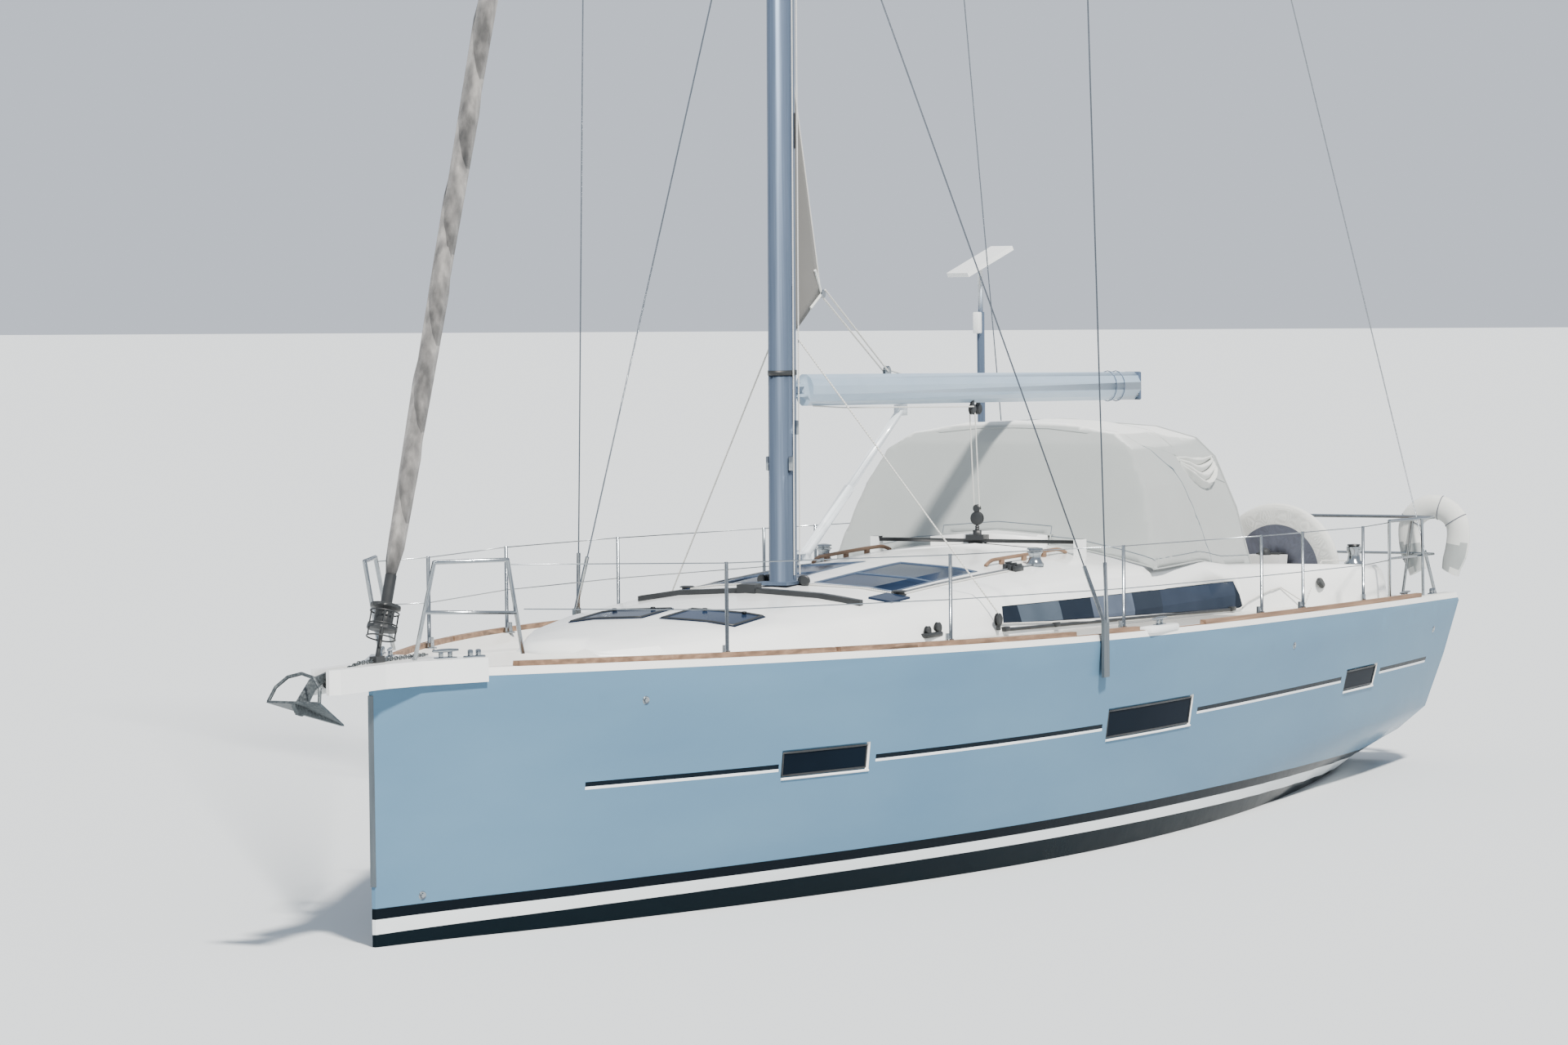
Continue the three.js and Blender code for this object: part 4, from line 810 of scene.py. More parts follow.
# %% Turned shapes
def revolve(shape, steps):
    """Spins a shape's edges once round the upright axis."""
    bmesh.ops.spin(
        shape, geom=shape.verts[:] + shape.edges[:], cent=(0, 0, 0), axis=(0, 0, 1), angle=2 * math.pi,
        steps=steps, use_merge=True)
    bmesh.ops.remove_doubles(shape, verts=shape.verts, dist=1e-5)


def spun(profile, at, toward=(0, 0, 1), steps=24):
    """A turned shape: a profile of (radius, height) points spun round its axis and stood at a place."""
    shape = bmesh.new()
    points = [shape.verts.new((radius, 0, height)) for radius, height in profile]
    for ends in zip(points, points[1:]):
        shape.edges.new(ends)
    revolve(shape, steps)
    lean = Vector((0, 0, 1)).rotation_difference(Vector(toward)).to_matrix().to_4x4()
    bmesh.ops.transform(shape, matrix=Matrix.Translation(at) @ lean, verts=shape.verts)
    return shape


def doubled(half, middle=()):
    """A profile that is the same on both sides of its middle, from its upper half, which ends there."""
    return [(radius, -height) for radius, height in half] + [*middle, *reversed(half)]


print("a flat disc:", doubled([(0.0, 0.01), (0.1, 0.01)]))

# %% Wheel cover
WHEEL = Vector((-5.2, 1.08, 1.66))
COVER_SPREAD, PANEL_RADIUS, FLAT_RADIUS = 1.055, 0.36, 0.49
SPOKE_DIP, RIPPLE = 0.18, 0.05
half_cover = [(0.056, 0.026), (0.2, 0.029), (0.335, 0.032), (0.345, 0.034), (0.4, 0.036), (0.455, 0.035),
              (0.49, 0.028), (0.504, 0.012)]
profile = [(radius * COVER_SPREAD, height) for radius, height in doubled(half_cover, [(0.506, 0.0)])]
cover = spun(profile, WHEEL, (1, 0, 0), 60)
for vertex in cover.verts:
    reach = vertex.co - WHEEL
    if math.hypot(reach.y, reach.z) < FLAT_RADIUS:
        angle = math.atan2(reach.z, reach.y)
        dip = SPOKE_DIP * (0.5 + 0.5 * math.cos(5 * angle))
        reach.x *= 1 - dip - RIPPLE * math.sin(17 * angle)
        vertex.co = reach + WHEEL
wheel_cover = from_shape("wheel_cover_cloth", cover, canvas_white, "port_wheel", 50)
wheel_cover.data.materials.append(panel_grey)
for face in wheel_cover.data.polygons:
    reach = face.center - WHEEL
    face.material_index = 1 if math.hypot(reach.y, reach.z) < PANEL_RADIUS else 0
thicken(wheel_cover, "canvas_thickness", 0.002)
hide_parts("wheel_cover")
print("cover area", round(area_of(wheel_cover), 2), "m2")

# %% [markdown]
# ## Furled jib
# The headsail is rolled round its stay, so what shows is a long thin roll with the edge of the sail
# climbing round it as a helix, in the grey cloth of its sun strip. The solid's cone is cut into short
# rings, and each point is moved out by how far round the roll it is from the cloth's edge.

# %% Furled jib
RINGS, HELIX_RISE = 150, 1.1
ROLL_CORE, EDGE_RISE = 0.84, 0.15
STAY_FOOT, STAY_LEAN = (6.7, 1.738), -0.35
low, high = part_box("furled_jib")
jib = merged("furled_jib")
for step in range(1, RINGS):
    cut_across(jib, 2, low[2] + (high[2] - low[2]) * step / RINGS)
for vertex in jib.verts:
    middle = Vector((STAY_FOOT[0] + STAY_LEAN * (vertex.co.z - STAY_FOOT[1]), 0, vertex.co.z))
    reach = vertex.co - middle
    if reach.length > 0.02:
        turn_share = (math.atan2(reach.y, reach.x) / (2 * math.pi) + vertex.co.z / HELIX_RISE) % 1.0
        reach *= ROLL_CORE + EDGE_RISE * turn_share
        vertex.co = middle + reach
jib_roll = from_shape("jib_roll", jib, sun_strip, crease=40)
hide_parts("furled_jib")
print(len(jib_roll.data.polygons), "faces on a roll", round(high[2] - low[2], 2), "m high")

# %% [markdown]
# ## Horseshoe buoy
# A foam horseshoe in a white zipped cover hangs on the stern rail. It is a stuffed tube: a round bar
# along the horseshoe's course, squashed to its real thickness and tapered at its two ends. A grey pocket
# is sewn on the face of each arm, and thin straps go round it.

# %% Horseshoe buoy
BUOY = Vector((-6.7143, 1.857, 1.888))
ARM, TUBE, SQUASH = 0.22, 0.1, 0.61
ARM_MIDDLE, END_TAPER, END_BELOW, END_LENGTH = 0.155, 0.3, 0.2, 0.12
POCKET_LOW, POCKET_HIGH = -0.3, -0.08
arm_end = [(-0.14, -0.32), (-0.185, -0.2), (-0.215, -0.05)]
bend = [math.radians(angle) for angle in range(15, 180, 15)]
course = arm_end + [(-ARM * math.cos(a), ARM * math.sin(a)) for a in bend]
course += [(-across, up) for across, up in reversed(arm_end)]
buoy_path = [BUOY + Vector((0, across, up)) for across, up in course]
buoy_foam = bars("buoy_foam", [buoy_path], TUBE, canvas_white, smooth=True, rings=6)
for vertex in buoy_foam.data.vertices:
    vertex.co.x = BUOY.x + (vertex.co.x - BUOY.x) * SQUASH
    end_share = min(1.0, max(0.0, (BUOY.z - END_BELOW - vertex.co.z) / END_LENGTH))
    middle = BUOY.y + (ARM_MIDDLE if vertex.co.y > BUOY.y else -ARM_MIDDLE)
    vertex.co.y = middle + (vertex.co.y - middle) * (1 - END_TAPER * end_share)
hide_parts("horseshoe_buoy")
buoy_foam.data.materials.append(canvas_grey)
for face in buoy_foam.data.polygons:
    if face.normal.x > 0.4 and POCKET_LOW < face.center.z - BUOY.z < POCKET_HIGH:
        face.material_index = 1
print("buoy", len(buoy_foam.data.polygons), "faces")

# %% Straps on the buoy
STRAP_PLACES = (1, 4, 9, 12)
HALF_DEPTH, HALF_WIDTH = 0.062, 0.092
buoy_tree = tree_of(buoy_foam.data)
buoy_bands = []
for place in STRAP_PLACES:
    centre = buoy_path[place]
    along_arm = (buoy_path[place + 1] - buoy_path[place - 1]).normalized()
    outward = along_arm.cross(Vector((1, 0, 0)))
    ring = []
    for i in range(17):
        turn = i * math.pi / 8
        reach = Vector((HALF_DEPTH * math.cos(turn), 0, 0)) + outward * HALF_WIDTH * math.sin(turn)
        spot, normal, _, _ = buoy_tree.find_nearest(centre + reach * 1.15)
        ring.append(spot + normal * 0.001)
    buoy_bands.append(ring)
bars("buoy_straps", buoy_bands, 0.004, panel_grey)
print(len(buoy_bands), "straps")

# %% [markdown]
# ## Seams and hem of the hood
# A real hood is sewn from panels. A dark welt covers each side seam, and the open edges have a doubled
# hem, which shows as a soft roll with a row of stitches above it. Both follow the cloth, so their paths
# are drawn roughly and then let down onto it.


# %% Seams and hem
def laid(points, tree, lift, step=0.03):
    """A path along straight lines between points, moved to the nearest surface and raised by lift."""
    path = []
    for start, end in zip(points, points[1:]):
        start, end = Vector(start), Vector(end)
        count = max(2, int((end - start).length / step))
        for i in range(count + 1):
            spot, normal, _, _ = tree.find_nearest(start.lerp(end, i / count))
            path.append(spot + normal * lift)
    return path


def pair(paths):
    """Each path and its mirror image on the other side of the boat."""
    return [side for path in paths for side in (path, [Vector((x, -y, z)) for x, y, z in path])]


SIDE_SEAM = [(-2.75, 0.965, 2.735), (-3.103, 1.071, 2.549), (-3.267, 1.163, 2.254), (-3.368, 1.241, 1.935),
             (-3.4, 1.26, 1.8)]
TOP_SEAM = [(-2.53, 0.0, 2.885), (-2.53, 0.3, 2.875), (-2.503, 0.615, 2.842), (-2.75, 0.965, 2.735),
            (-3.3, 1.0, 2.65), (-3.9, 1.02, 2.5), (-4.3, 1.0, 2.4)]
CROSS_SEAM = [(-3.36, -1.0, 2.75), (-3.36, 0.0, 2.95), (-3.36, 1.0, 2.75)]
WELT, TOP_WELT, CROSS_WELT, HEM, STITCH = 0.0065, 0.006, 0.005, 0.007, 0.0025
HEM_TOP, STITCHES_OVER_HEM = 2.2, Vector((0, 0, 0.075))
bars("hood_seams", pair([laid(SIDE_SEAM, hood_tree, 0.001)]), WELT, canvas_trim, smooth=True)
bars("hood_top_seam", pair([laid(TOP_SEAM, hood_tree, 0.001)]), TOP_WELT, canvas_grey, smooth=True)
bars("hood_cross_seams", [laid(CROSS_SEAM, hood_tree, 0.0)], CROSS_WELT, canvas_grey)
bars("hood_hem", hood_edges, HEM, canvas_grey)
hem_line = []
for edge in hood_edges:
    raised = [point + STITCHES_OVER_HEM for point in edge if point.z < HEM_TOP]
    if len(raised) > 3:
        hem_line.append(laid(raised, hood_tree, 0.0005))
bars("hood_hem_stitching", hem_line, STITCH, canvas_trim)
print("five seams and", len(hem_line), "rows of stitches")

# %% [markdown]
# The side curtain is gathered up and tied in two places under the hood's rear corner, so between its
# ties it hangs in slack folds. It is a closed form laid on the hood: a grid of points hangs from one tie
# to the other, and its outer face rises in ridges while its inner one stays on the cloth.

# %% Gathered side curtains
TIES = (Vector((-3.35, 1.05, 2.66)), Vector((-4.28, 0.93, 2.64)))
OUTSIDE = Vector((0, 0.25, 0.12))
SAG, FOLDS, RISE, BURY = 0.25, 4, 0.055, -0.002


def bundle_place(u, v, rise):
    """A point of the curtain: u runs from tie to tie, v from its top edge to its lowest fold."""
    belly = math.sin(math.pi * u) ** 0.6
    hanging = TIES[0].lerp(TIES[1], u) + Vector((0, 0.45, -1)) * SAG * (0.05 + v) * belly
    spot, normal, _, _ = hood_tree.find_nearest(hanging + OUTSIDE)
    from_edge = min(1.0, 7 * u, 7 * (1 - u), 9 * v, 9 * (1 - v))
    return spot + normal * rise * from_edge * (0.1 + 0.9 * abs(math.sin(FOLDS * math.pi * v)))


def sheet_of(shape, place, across, down):
    """Adds a grid of faces whose corners lie at place(u, v), and gives back its rows of corners."""
    rows = [[shape.verts.new(place(i / across, j / down)) for i in range(across + 1)]
            for j in range(down + 1)]
    for upper, lower in zip(rows, rows[1:]):
        for corners in zip(upper, upper[1:], lower[1:], lower):
            shape.faces.new(corners)
    return rows


curtain = bmesh.new()
for rise in (RISE, BURY):
    sheet_of(curtain, lambda u, v: bundle_place(u, v, rise), 24, 48)
port_curtain = from_shape("rolled_curtain_port", curtain, canvas_white, crease=75)
other = bmesh.new()
other.from_mesh(port_curtain.data)
bmesh.ops.scale(other, vec=(1, -1, 1), verts=other.verts)
starboard_curtain = from_shape("rolled_curtain_starboard", other, None, crease=75)
straps = [laid([tie, tie + Vector((0, 0.04, -0.04))], hood_tree, 0.004, 0.02) for tie in TIES]
bars("curtain_straps", pair(straps), 0.008, canvas_grey)
print("two curtains of", round((TIES[1] - TIES[0]).length, 2), "m")

# %% [markdown]
# ## Windows
# Each hull window is a sheet of acrylic set back in the shell, on a dark seal, and the moulded lip under
# it catches the light. The seal and the lip are bars along paths that lie on the hull, so each point of
# a path is found by a level line that comes in from the side.


# %% Hull windows
def stepped(points, count):
    """Places along the straight lines between points, count to a line, without the last point."""
    return [tuple(a + (b - a) * i / count for a, b in zip(start, end))
            for start, end in zip(points, points[1:]) for i in range(count)]


def rectangle(x0, x1, y0, y1, inset=0.0):
    """The corners of a rectangle, ending where they start, moved inwards by inset."""
    x0, x1, y0, y1 = x0 + inset, x1 - inset, y0 + inset, y1 - inset
    return [(x0, y0), (x1, y0), (x1, y1), (x0, y1), (x0, y0)]


PANE_INSET = 0.0015
SILL_DROP, SILL_SPARE = 0.026, 0.016


def pane_edge(node):
    """The outline of a window's outer face as a closed path, found from the corners of its box."""
    low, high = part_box(node)
    side = 1 if high[1] > 0 else -1
    tree = tree_of(nodes[node].data)
    outermost = side * max(abs(low[1]), abs(high[1]))
    path = []
    for x, z in stepped(rectangle(low[0], high[0], low[2], high[2], PANE_INSET), 8):
        spot = tree.ray_cast(Vector((x, side * ABREAST, z)), Vector((0, -side, 0)))[0]
        near = path[-1].y if path else outermost
        path.append(spot or tree.find_nearest(Vector((x, near, z)))[0])
    return path + path[:1]


def sill_under(node):
    """The line of the moulded lip under a window, a little longer than the window."""
    low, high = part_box(node)
    side = 1 if high[1] > 0 else -1
    path = []
    for i in range(9):
        x = low[0] - SILL_SPARE + (high[0] - low[0] + 2 * SILL_SPARE) * i / 8
        path.append(hull_hit(x, side, low[2] - SILL_DROP)[0] + Vector((0, side * 0.002, 0.006)))
    return path


bars("hull_window_sills", [sill_under(name) for name in HULL_WINDOWS], 0.009, smooth_white)
bars("hull_window_seals", [pane_edge(name) for name in HULL_WINDOWS], 0.007, plastic)
print(len(HULL_WINDOWS), "windows")

# %% [markdown]
# The skylights and the fore hatches are framed in thin anodised aluminium or black nylon. The frame is a
# bar laid round the pane's edge at the height of a plumb line there, and another bar divides the long
# skylight in two. The fore hatches also have two round handles each.

# %% Roof frames
OVER_DECK, UNDER_KEEL = 4.0, -10.0
FRAME_INSET, FRAME_BED = 0.014, 0.002
surfaces = {}


def seat(node, x, y):
    """The height at which a plumb line at x, y first meets a solid, or one under the keel."""
    if node not in surfaces:
        surfaces[node] = tree_of(nodes[node].data)
    hit = surfaces[node].ray_cast(Vector((x, y, OVER_DECK)), Vector((0, 0, -1)))
    return hit[0].z if hit[0] else UNDER_KEEL


def frame_line(node):
    """The edge of a roof pane as a closed path, bedded a little into its face."""
    low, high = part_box(node)
    corners = rectangle(low[0], high[0], low[1], high[1], FRAME_INSET)
    path = [Vector((x, y, seat(node, x, y) - FRAME_BED)) for x, y in stepped(corners, 10)]
    return path + path[:1]


ROOF_PANES = [("boat", anodised, sides_of("skylight")), ("fore_hatch_port", plastic, ["fore_hatch_port"]),
              ("fore_hatch_starboard", plastic, ["fore_hatch_starboard"])]
for body, material, names in ROOF_PANES:
    bars("frame_of_" + names[0], [frame_line(name) for name in names], 0.011, material, body)
DIVIDER_X = 0.5
divider = [Vector((DIVIDER_X, y, seat("skylight_port", DIVIDER_X, y) - FRAME_BED))
           for y in (0.14 + 0.062 * i for i in range(11))]
bars("skylight_dividers", pair([divider]), 0.011, anodised)
print("divider", round(divider[-1].y - divider[0].y, 2), "m long")


# %% Hatch handles
def together(*shapes):
    """Puts several shapes into one."""
    whole = shapes[0]
    for shape in shapes[1:]:
        passing = bpy.data.meshes.new("passing")
        shape.to_mesh(passing)
        shape.free()
        whole.from_mesh(passing)
        bpy.data.meshes.remove(passing)
    return whole


KNOB = [(0.0, 0.022), (0.016, 0.02), (0.018, 0.012), (0.012, 0.0)]
KNOB_X = 2.86
for side, body in ((1, "fore_hatch_port"), (-1, "fore_hatch_starboard")):
    knobs = [spun(KNOB, (KNOB_X, side * y, seat("fore_hatch_port", KNOB_X, y) - 0.001), steps=12)
             for y in (0.2, 0.5)]
    from_shape("handles_of_" + body, together(*knobs), plastic, body)
print(len(knobs), "handles a hatch")

# %% [markdown]
# ## Deck fittings
# Every rope ends somewhere: cleats and fairleads at the bow, amidships and at the quarters for the
# heavy ropes, blocks and tracks for the sheets, clutches and winches for the halyards. Most are
# stainless or black nylon. They are cast or turned, so they are made of boxes with rounded edges and
# of turned shapes, stood at the height of the solid under them and mirrored to the other side.


# %% Shapes for fittings
def block(low, high, rounding, at=(0, 0, 0)):
    """A box between two corners, which are counted from a place, with its edges rounded."""
    shape = bmesh.new()
    low, high = Vector(at) + Vector(low), Vector(at) + Vector(high)
    place = Matrix.Translation((low + high) / 2) @ Matrix.Diagonal((*(high - low), 1))
    bmesh.ops.create_cube(shape, size=1.0, matrix=place)
    bmesh.ops.bevel(
        shape, geom=shape.edges[:], offset=rounding, segments=2, profile=0.5, affect="EDGES", material=-1,
        clamp_overlap=True)
    return shape


def stood(shape, at, turn_to=0.0):
    """Moves a shape made at the origin to its place, turned about the upright."""
    place = Matrix.Translation(at) @ Matrix.Rotation(turn_to, 4, "Z")
    bmesh.ops.transform(shape, matrix=place, verts=shape.verts)
    return shape


def on_both_sides(name, shapes, material):
    """One piece made of several shapes and their mirror images on the other side of the boat."""
    whole = together(*shapes)
    copy = bmesh.ops.duplicate(whole, geom=whole.verts[:] + whole.edges[:] + whole.faces[:])
    moved = [part for part in copy["geom"] if isinstance(part, bmesh.types.BMVert)]
    bmesh.ops.scale(whole, vec=(1, -1, 1), verts=moved)
    return from_shape(name, whole, material)


def on_top(x, y, lift=0.0):
    """The place on top of the highest of the deck's solids, raised by lift."""
    return Vector((x, y, max(seat(name, x, y) for name in ("hull", "deck_moulding", "bow_moulding")) + lift))


print("deck at midships is", round(on_top(0, 0).z, 3), "m up")


# %% Cleats and fairleads
def cleat(at, length, turn_to=0.0):
    """A horn cleat: a bar with tapered ends on two legs and a foot plate."""
    half = length / 2
    horn = doubled([(0.0, half), (0.007, half - 0.004), (0.012, 0.3 * half)])
    legs = [block((-0.013, -0.01, 0), (0.013, 0.01, 0.046), 0.005, (x, 0, 0)) for x in (-0.034, 0.034)]
    foot = block((-0.075, -0.021, -0.004), (0.075, 0.021, 0.006), 0.003)
    return stood(together(spun(horn, (0, 0, 0.046), (1, 0, 0), 12), *legs, foot), at, turn_to)


def fairlead(at, turn_to):
    """Two upright horns with a gap between them, that a rope passes through."""
    horns = [block((-0.016, -0.014, 0), (0.016, 0.014, 0.05), 0.009, (x, 0, 0)) for x in (-0.03, 0.03)]
    return stood(together(*horns, block((-0.075, -0.018, -0.003), (0.075, 0.018, 0.012), 0.005)), at, turn_to)


BOW_LEAN, QUARTER_LEAN = -0.42, 0.05
fittings = [cleat(on_top(6.22, 0.2), 0.2, BOW_LEAN), fairlead(on_top(6.1, 0.335), BOW_LEAN),
            cleat(on_top(-0.4, 2.12, 0.03), 0.26), cleat(on_top(-5.6, 2.02), 0.26, QUARTER_LEAN),
            fairlead(on_top(-6.36, 1.97), QUARTER_LEAN)]
on_both_sides("mooring_cleats", fittings, stainless)
pad_foot = on_top(-0.4, 2.12).z
pad = block((-0.62, 2.075, pad_foot - 0.02), (-0.12, 2.185, pad_foot + 0.03), 0.018)
on_both_sides("cleat_pads", [pad], smooth_white)
print(len(fittings) * 2, "cleats and fairleads")

# %% Skin fittings
OUTLETS = [(4.97, 1.397), (-2.84, 1.235), (-6.23, 1.131), (6.45, 0.29)]
DISC = [(0.0, 0.008), (0.013, 0.008), (0.014, 0.002), (0.024, 0.005), (0.028, 0.0)]
discs = []
for x, z in OUTLETS:
    spot, normal, _, _ = hull_hit(x, 1, z)
    discs.append(spun(DISC, spot, normal, 16))
on_both_sides("skin_fittings", discs, stainless)
print(len(OUTLETS) * 2, "skin fittings")

# %% [markdown]
# ## Winches and clutches
# Halyards come back along the roof to a winch on each side. A winch is turned: a foot, a waisted drum
# and a toothed jaw on top. The helm's winches are in the frame already, so they only gain their jaws.

# %% Winches
WINCH = [(0.0, -0.01), (0.066, -0.01), (0.066, 0.012), (0.056, 0.02), (0.044, 0.045), (0.043, 0.07),
         (0.052, 0.088), (0.06, 0.092), (0.06, 0.1), (0.045, 0.104), (0.045, 0.11), (0.06, 0.114),
         (0.058, 0.124), (0.024, 0.13), (0.016, 0.124), (0.0, 0.124)]
JAW = [(0.0, 0.0), (0.05, 0.0), (0.054, 0.005), (0.05, 0.012), (0.02, 0.014), (0.0, 0.008)]
on_both_sides("roof_winches", [spun(WINCH, on_top(-1.0, 0.87, 0.004), steps=28)], stainless)
jaws = []
for name in sides_of("winch"):
    low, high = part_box(name)
    jaws.append(spun(JAW, ((low[0] + high[0]) / 2, (low[1] + high[1]) / 2, high[2] - 0.001), steps=24))
from_shape("winch_jaws", together(*jaws), plastic)
print(len(jaws), "jaws")


# %% Clutches
def clutch(at):
    """A rope clutch: a black body with its cam lever folded down."""
    body = block((-0.07, -0.016, 0), (0.07, 0.016, 0.042), 0.008)
    lever = block((-0.055, -0.01, 0.04), (0.035, 0.01, 0.056), 0.006)
    return stood(together(body, lever), at)


clutches = [clutch(on_top(-0.62, 0.83 + 0.04 * i, -0.003)) for i in range(3)]
on_both_sides("rope_clutches", clutches, plastic)
print("clutches a side:", len(clutches))

# %% [markdown]
# ## Handrails, tracks and blocks
# A teak handrail runs along each side of the roof on short feet. Beside the coachroof a black track
# carries the jib's sheet block, and in front of it a double block turns the lines aft.

# %% Handrails
HANDRAIL = [(-0.5, 0.705), (-1.1, 0.735), (-1.95, 0.735)]
rail_path = [on_top(x, y, 0.042) for x, y in stepped(HANDRAIL, 8)]
for end in (0, -1):
    rail_path[end].z -= 0.034
bars("teak_handrails", pair([rail_path]), 0.014, teak, smooth=True, rings=4)
rail_feet = [block((-0.03, -0.012, -0.004), (0.03, 0.012, 0.04), 0.006, on_top(x, y))
             for x, y in ((-0.75, 0.7175), (-1.1, 0.735), (-1.45, 0.735))]
on_both_sides("handrail_feet", rail_feet, teak)
print("handrail", round(HANDRAIL[0][0] - HANDRAIL[-1][0], 2), "m")


# %% Side tracks and their blocks
def sheave_block(at, size, toward=(0, 1, 0)):
    """A rope block: two round cheeks with a wheel between them."""
    cheek = [(0.0, 0.018), (size * 0.8, 0.018), (size, 0.012), (size, 0.008), (size * 0.7, 0.006)]
    return spun(doubled(cheek), at, toward, 20)


deck_tree = tree_of(nodes["deck_moulding"].data)
track = laid([(0.5, 1.36, 1.56), (-1.5, 1.43, 1.51), (-3.4, 1.46, 1.46)], deck_tree, 0.008, 0.15)
bars("sheet_tracks", pair([track]), 0.013, plastic, rings=3)
stops = [block((-0.04, -0.02, -0.012), (0.04, 0.022, 0.022), 0.008, track[i]) for i in (0, 5, -1)]
on_both_sides("track_cars", stops, plastic)

LEAD = Vector((0.62, 1.33, 1.635))
organiser_at = on_top(1.5, 1.235)
deck_blocks = [
    sheave_block(LEAD, 0.046),
    block((-0.02, -0.012, -0.075), (0.02, 0.012, -0.03), 0.006, LEAD),
    block((-0.13, -0.03, -0.012), (0.12, 0.03, 0.02), 0.01, organiser_at),
    sheave_block(organiser_at + Vector((-0.1, 0, 0.045)), 0.04),
    sheave_block(organiser_at + Vector((0.06, 0, 0.035)), 0.034),
]
on_both_sides("deck_blocks", deck_blocks, plastic)
print("track", round((track[0] - track[-1]).length, 2), "m a side")

# %% [markdown]
# ## Traveller and mainsheet
# The mainsheet runs from a block that stands on the traveller's car to the boom, and its blocks stay
# upright on springs. The ropes are taut, so they are straight between their blocks.

# %% Mainsheet blocks
low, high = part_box("traveller")
car_top = Vector(((low[0] + high[0]) / 2, 0, high[2]))
SPRING = [(0.014, 0.0), (0.018, 0.008), (0.014, 0.016), (0.018, 0.024), (0.014, 0.032), (0.01, 0.04)]
car_eye = car_top + Vector((0, 0, 0.09))
standing_block = [spun(SPRING, car_top, steps=16), sheave_block(car_eye, 0.052, (1, 0, 0)),
                  sheave_block(car_top + Vector((0, 0, 0.165)), 0.03, (1, 0, 0))]
from_shape("mainsheet_block", together(*standing_block), plastic)
BOOM_UNDER = [Vector((-1.72, 0.03, 3.095)), Vector((-1.95, -0.03, 3.09))]
HANGING = Vector((0, 0, -0.05))
hangers = [sheave_block(at + HANGING, 0.042) for at in BOOM_UNDER]
hanger_straps = [block((-0.02, -0.012, -0.04), (0.02, 0.012, 0.02), 0.006, at) for at in BOOM_UNDER]
from_shape("boom_blocks", together(*hangers, *hanger_straps), plastic, "boom")
print("car top", round(high[2], 3))

# %% Mainsheet rope
MAINSHEET = 0.005
boom_eye = BOOM_UNDER[0] + HANGING


def fall(y):
    """One part of the rope, in short lengths so that it can bend between the boat and the boom."""
    turns = [car_eye + Vector((0, y, 0.05)), car_eye.lerp(boom_eye, 0.5) + Vector((0, y, 0)),
             boom_eye + Vector((0, y, -0.03))]
    return [a.lerp(b, i / 6) for a, b in zip(turns, turns[1:]) for i in range(7)]


mainsheet = bars("mainsheet", [fall(-0.022), fall(0.022)], MAINSHEET, rope_white, None)
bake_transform(mainsheet)
along_boom = [BOOM_UNDER[0] + Vector((0.02, 0.02, -0.03)), (0.4, 0.02, 3.115), (0.9, 0.03, 3.14)]
bars("mainsheet_on_boom", [along_boom], MAINSHEET, rope_white, "boom")
print("fall", round((boom_eye - car_eye).length, 2), "m")

# %% [markdown]
# ## Running lines
# Halyards come down beside the mast, turn at its foot and run aft along the roof. The jib sheets come
# from a ring on the mast down to the blocks at the side tracks, and on along the deck to the helm's
# winches. All are held taut, so they follow straight lines or the surface that they press on.


# %% Halyards
HALYARD, ROOF_LINE, ROPE_STEP, ON_ROOF = 0.005, 0.006, 0.12, 0.007


def on_deck(points, lift):
    """A line seen from above, laid along the tops of the deck's solids."""
    path = []
    for (x0, y0), (x1, y1) in zip(points, points[1:]):
        count = max(1, int(math.hypot(x1 - x0, y1 - y0) / ROPE_STEP))
        for i in range(count + 1):
            path.append(on_top(x0 + (x1 - x0) * i / count, y0 + (y1 - y0) * i / count, lift))
    return path


HALYARDS = [[(1.35, 0.098, 1.97), (1.2, 0.09, 12.9)], [(1.27, 0.1, 1.97), (1.09, 0.075, 17.4)]]
ROOF_RUN = [(1.28, 0.13), (1.19, 0.82), (0.2, 0.84), (-0.5, 0.85), (-0.94, 0.87)]
SECOND_RUN = [(1.3, 0.16), (1.22, 0.86), (0.2, 0.88), (-0.5, 0.89)]
bars("halyards", pair(HALYARDS), HALYARD, rope_white)
bars("roof_lines", pair([on_deck(ROOF_RUN, ON_ROOF)]), ROOF_LINE, rope_dark)
bars("roof_lines_pale", pair([on_deck(SECOND_RUN, ON_ROOF)]), ROOF_LINE, rope_white)
FOOT_X, FOOT_Y = 1.3, 0.14
foot_height = on_top(FOOT_X, FOOT_Y).z + 0.035
turning = [sheave_block((FOOT_X + shift, FOOT_Y + shift, foot_height), 0.036, (1, 0.3, 0))
           for shift in (0.0, 0.03)]
turning.append(sheave_block(on_top(1.2, 0.84, 0.012), 0.055, (0, 0, 1)))
on_both_sides("turning_blocks", turning, plastic)
print(len(turning), "turning blocks a side")

# %% Jib sheets
JIB_SHEET = 0.0055
RING_ON_MAST = Vector((1.26, 0.1, 3.62))
bars("jib_sheets", pair([[RING_ON_MAST, LEAD + Vector((0, 0, 0.045))]]), JIB_SHEET, rope_white)
lead_turns = [LEAD + Vector((-0.03, 0.0, -0.02)), (-1.5, 1.47, 1.5), (-3.4, 1.5, 1.46), (-4.3, 1.53, 1.6)]
aft_lead = laid(lead_turns, deck_tree, 0.012, 0.15)
aft_lead += on_deck([(-4.6, 1.56), (-4.8, 1.62), (-5.12, 1.7)], 0.03)
bars("jib_sheet_leads", pair([aft_lead]), JIB_SHEET, rope_white)
print("sheet", round((RING_ON_MAST - LEAD).length, 2), "m to its block")

# %% [markdown]
# ## Mast and boom fittings
# The mast carries a dark band above the boom, and its halyards come out of slots in its sides. The boom
# ends in an anodised casting with a sheave on each side, and two thin bands go round it there.


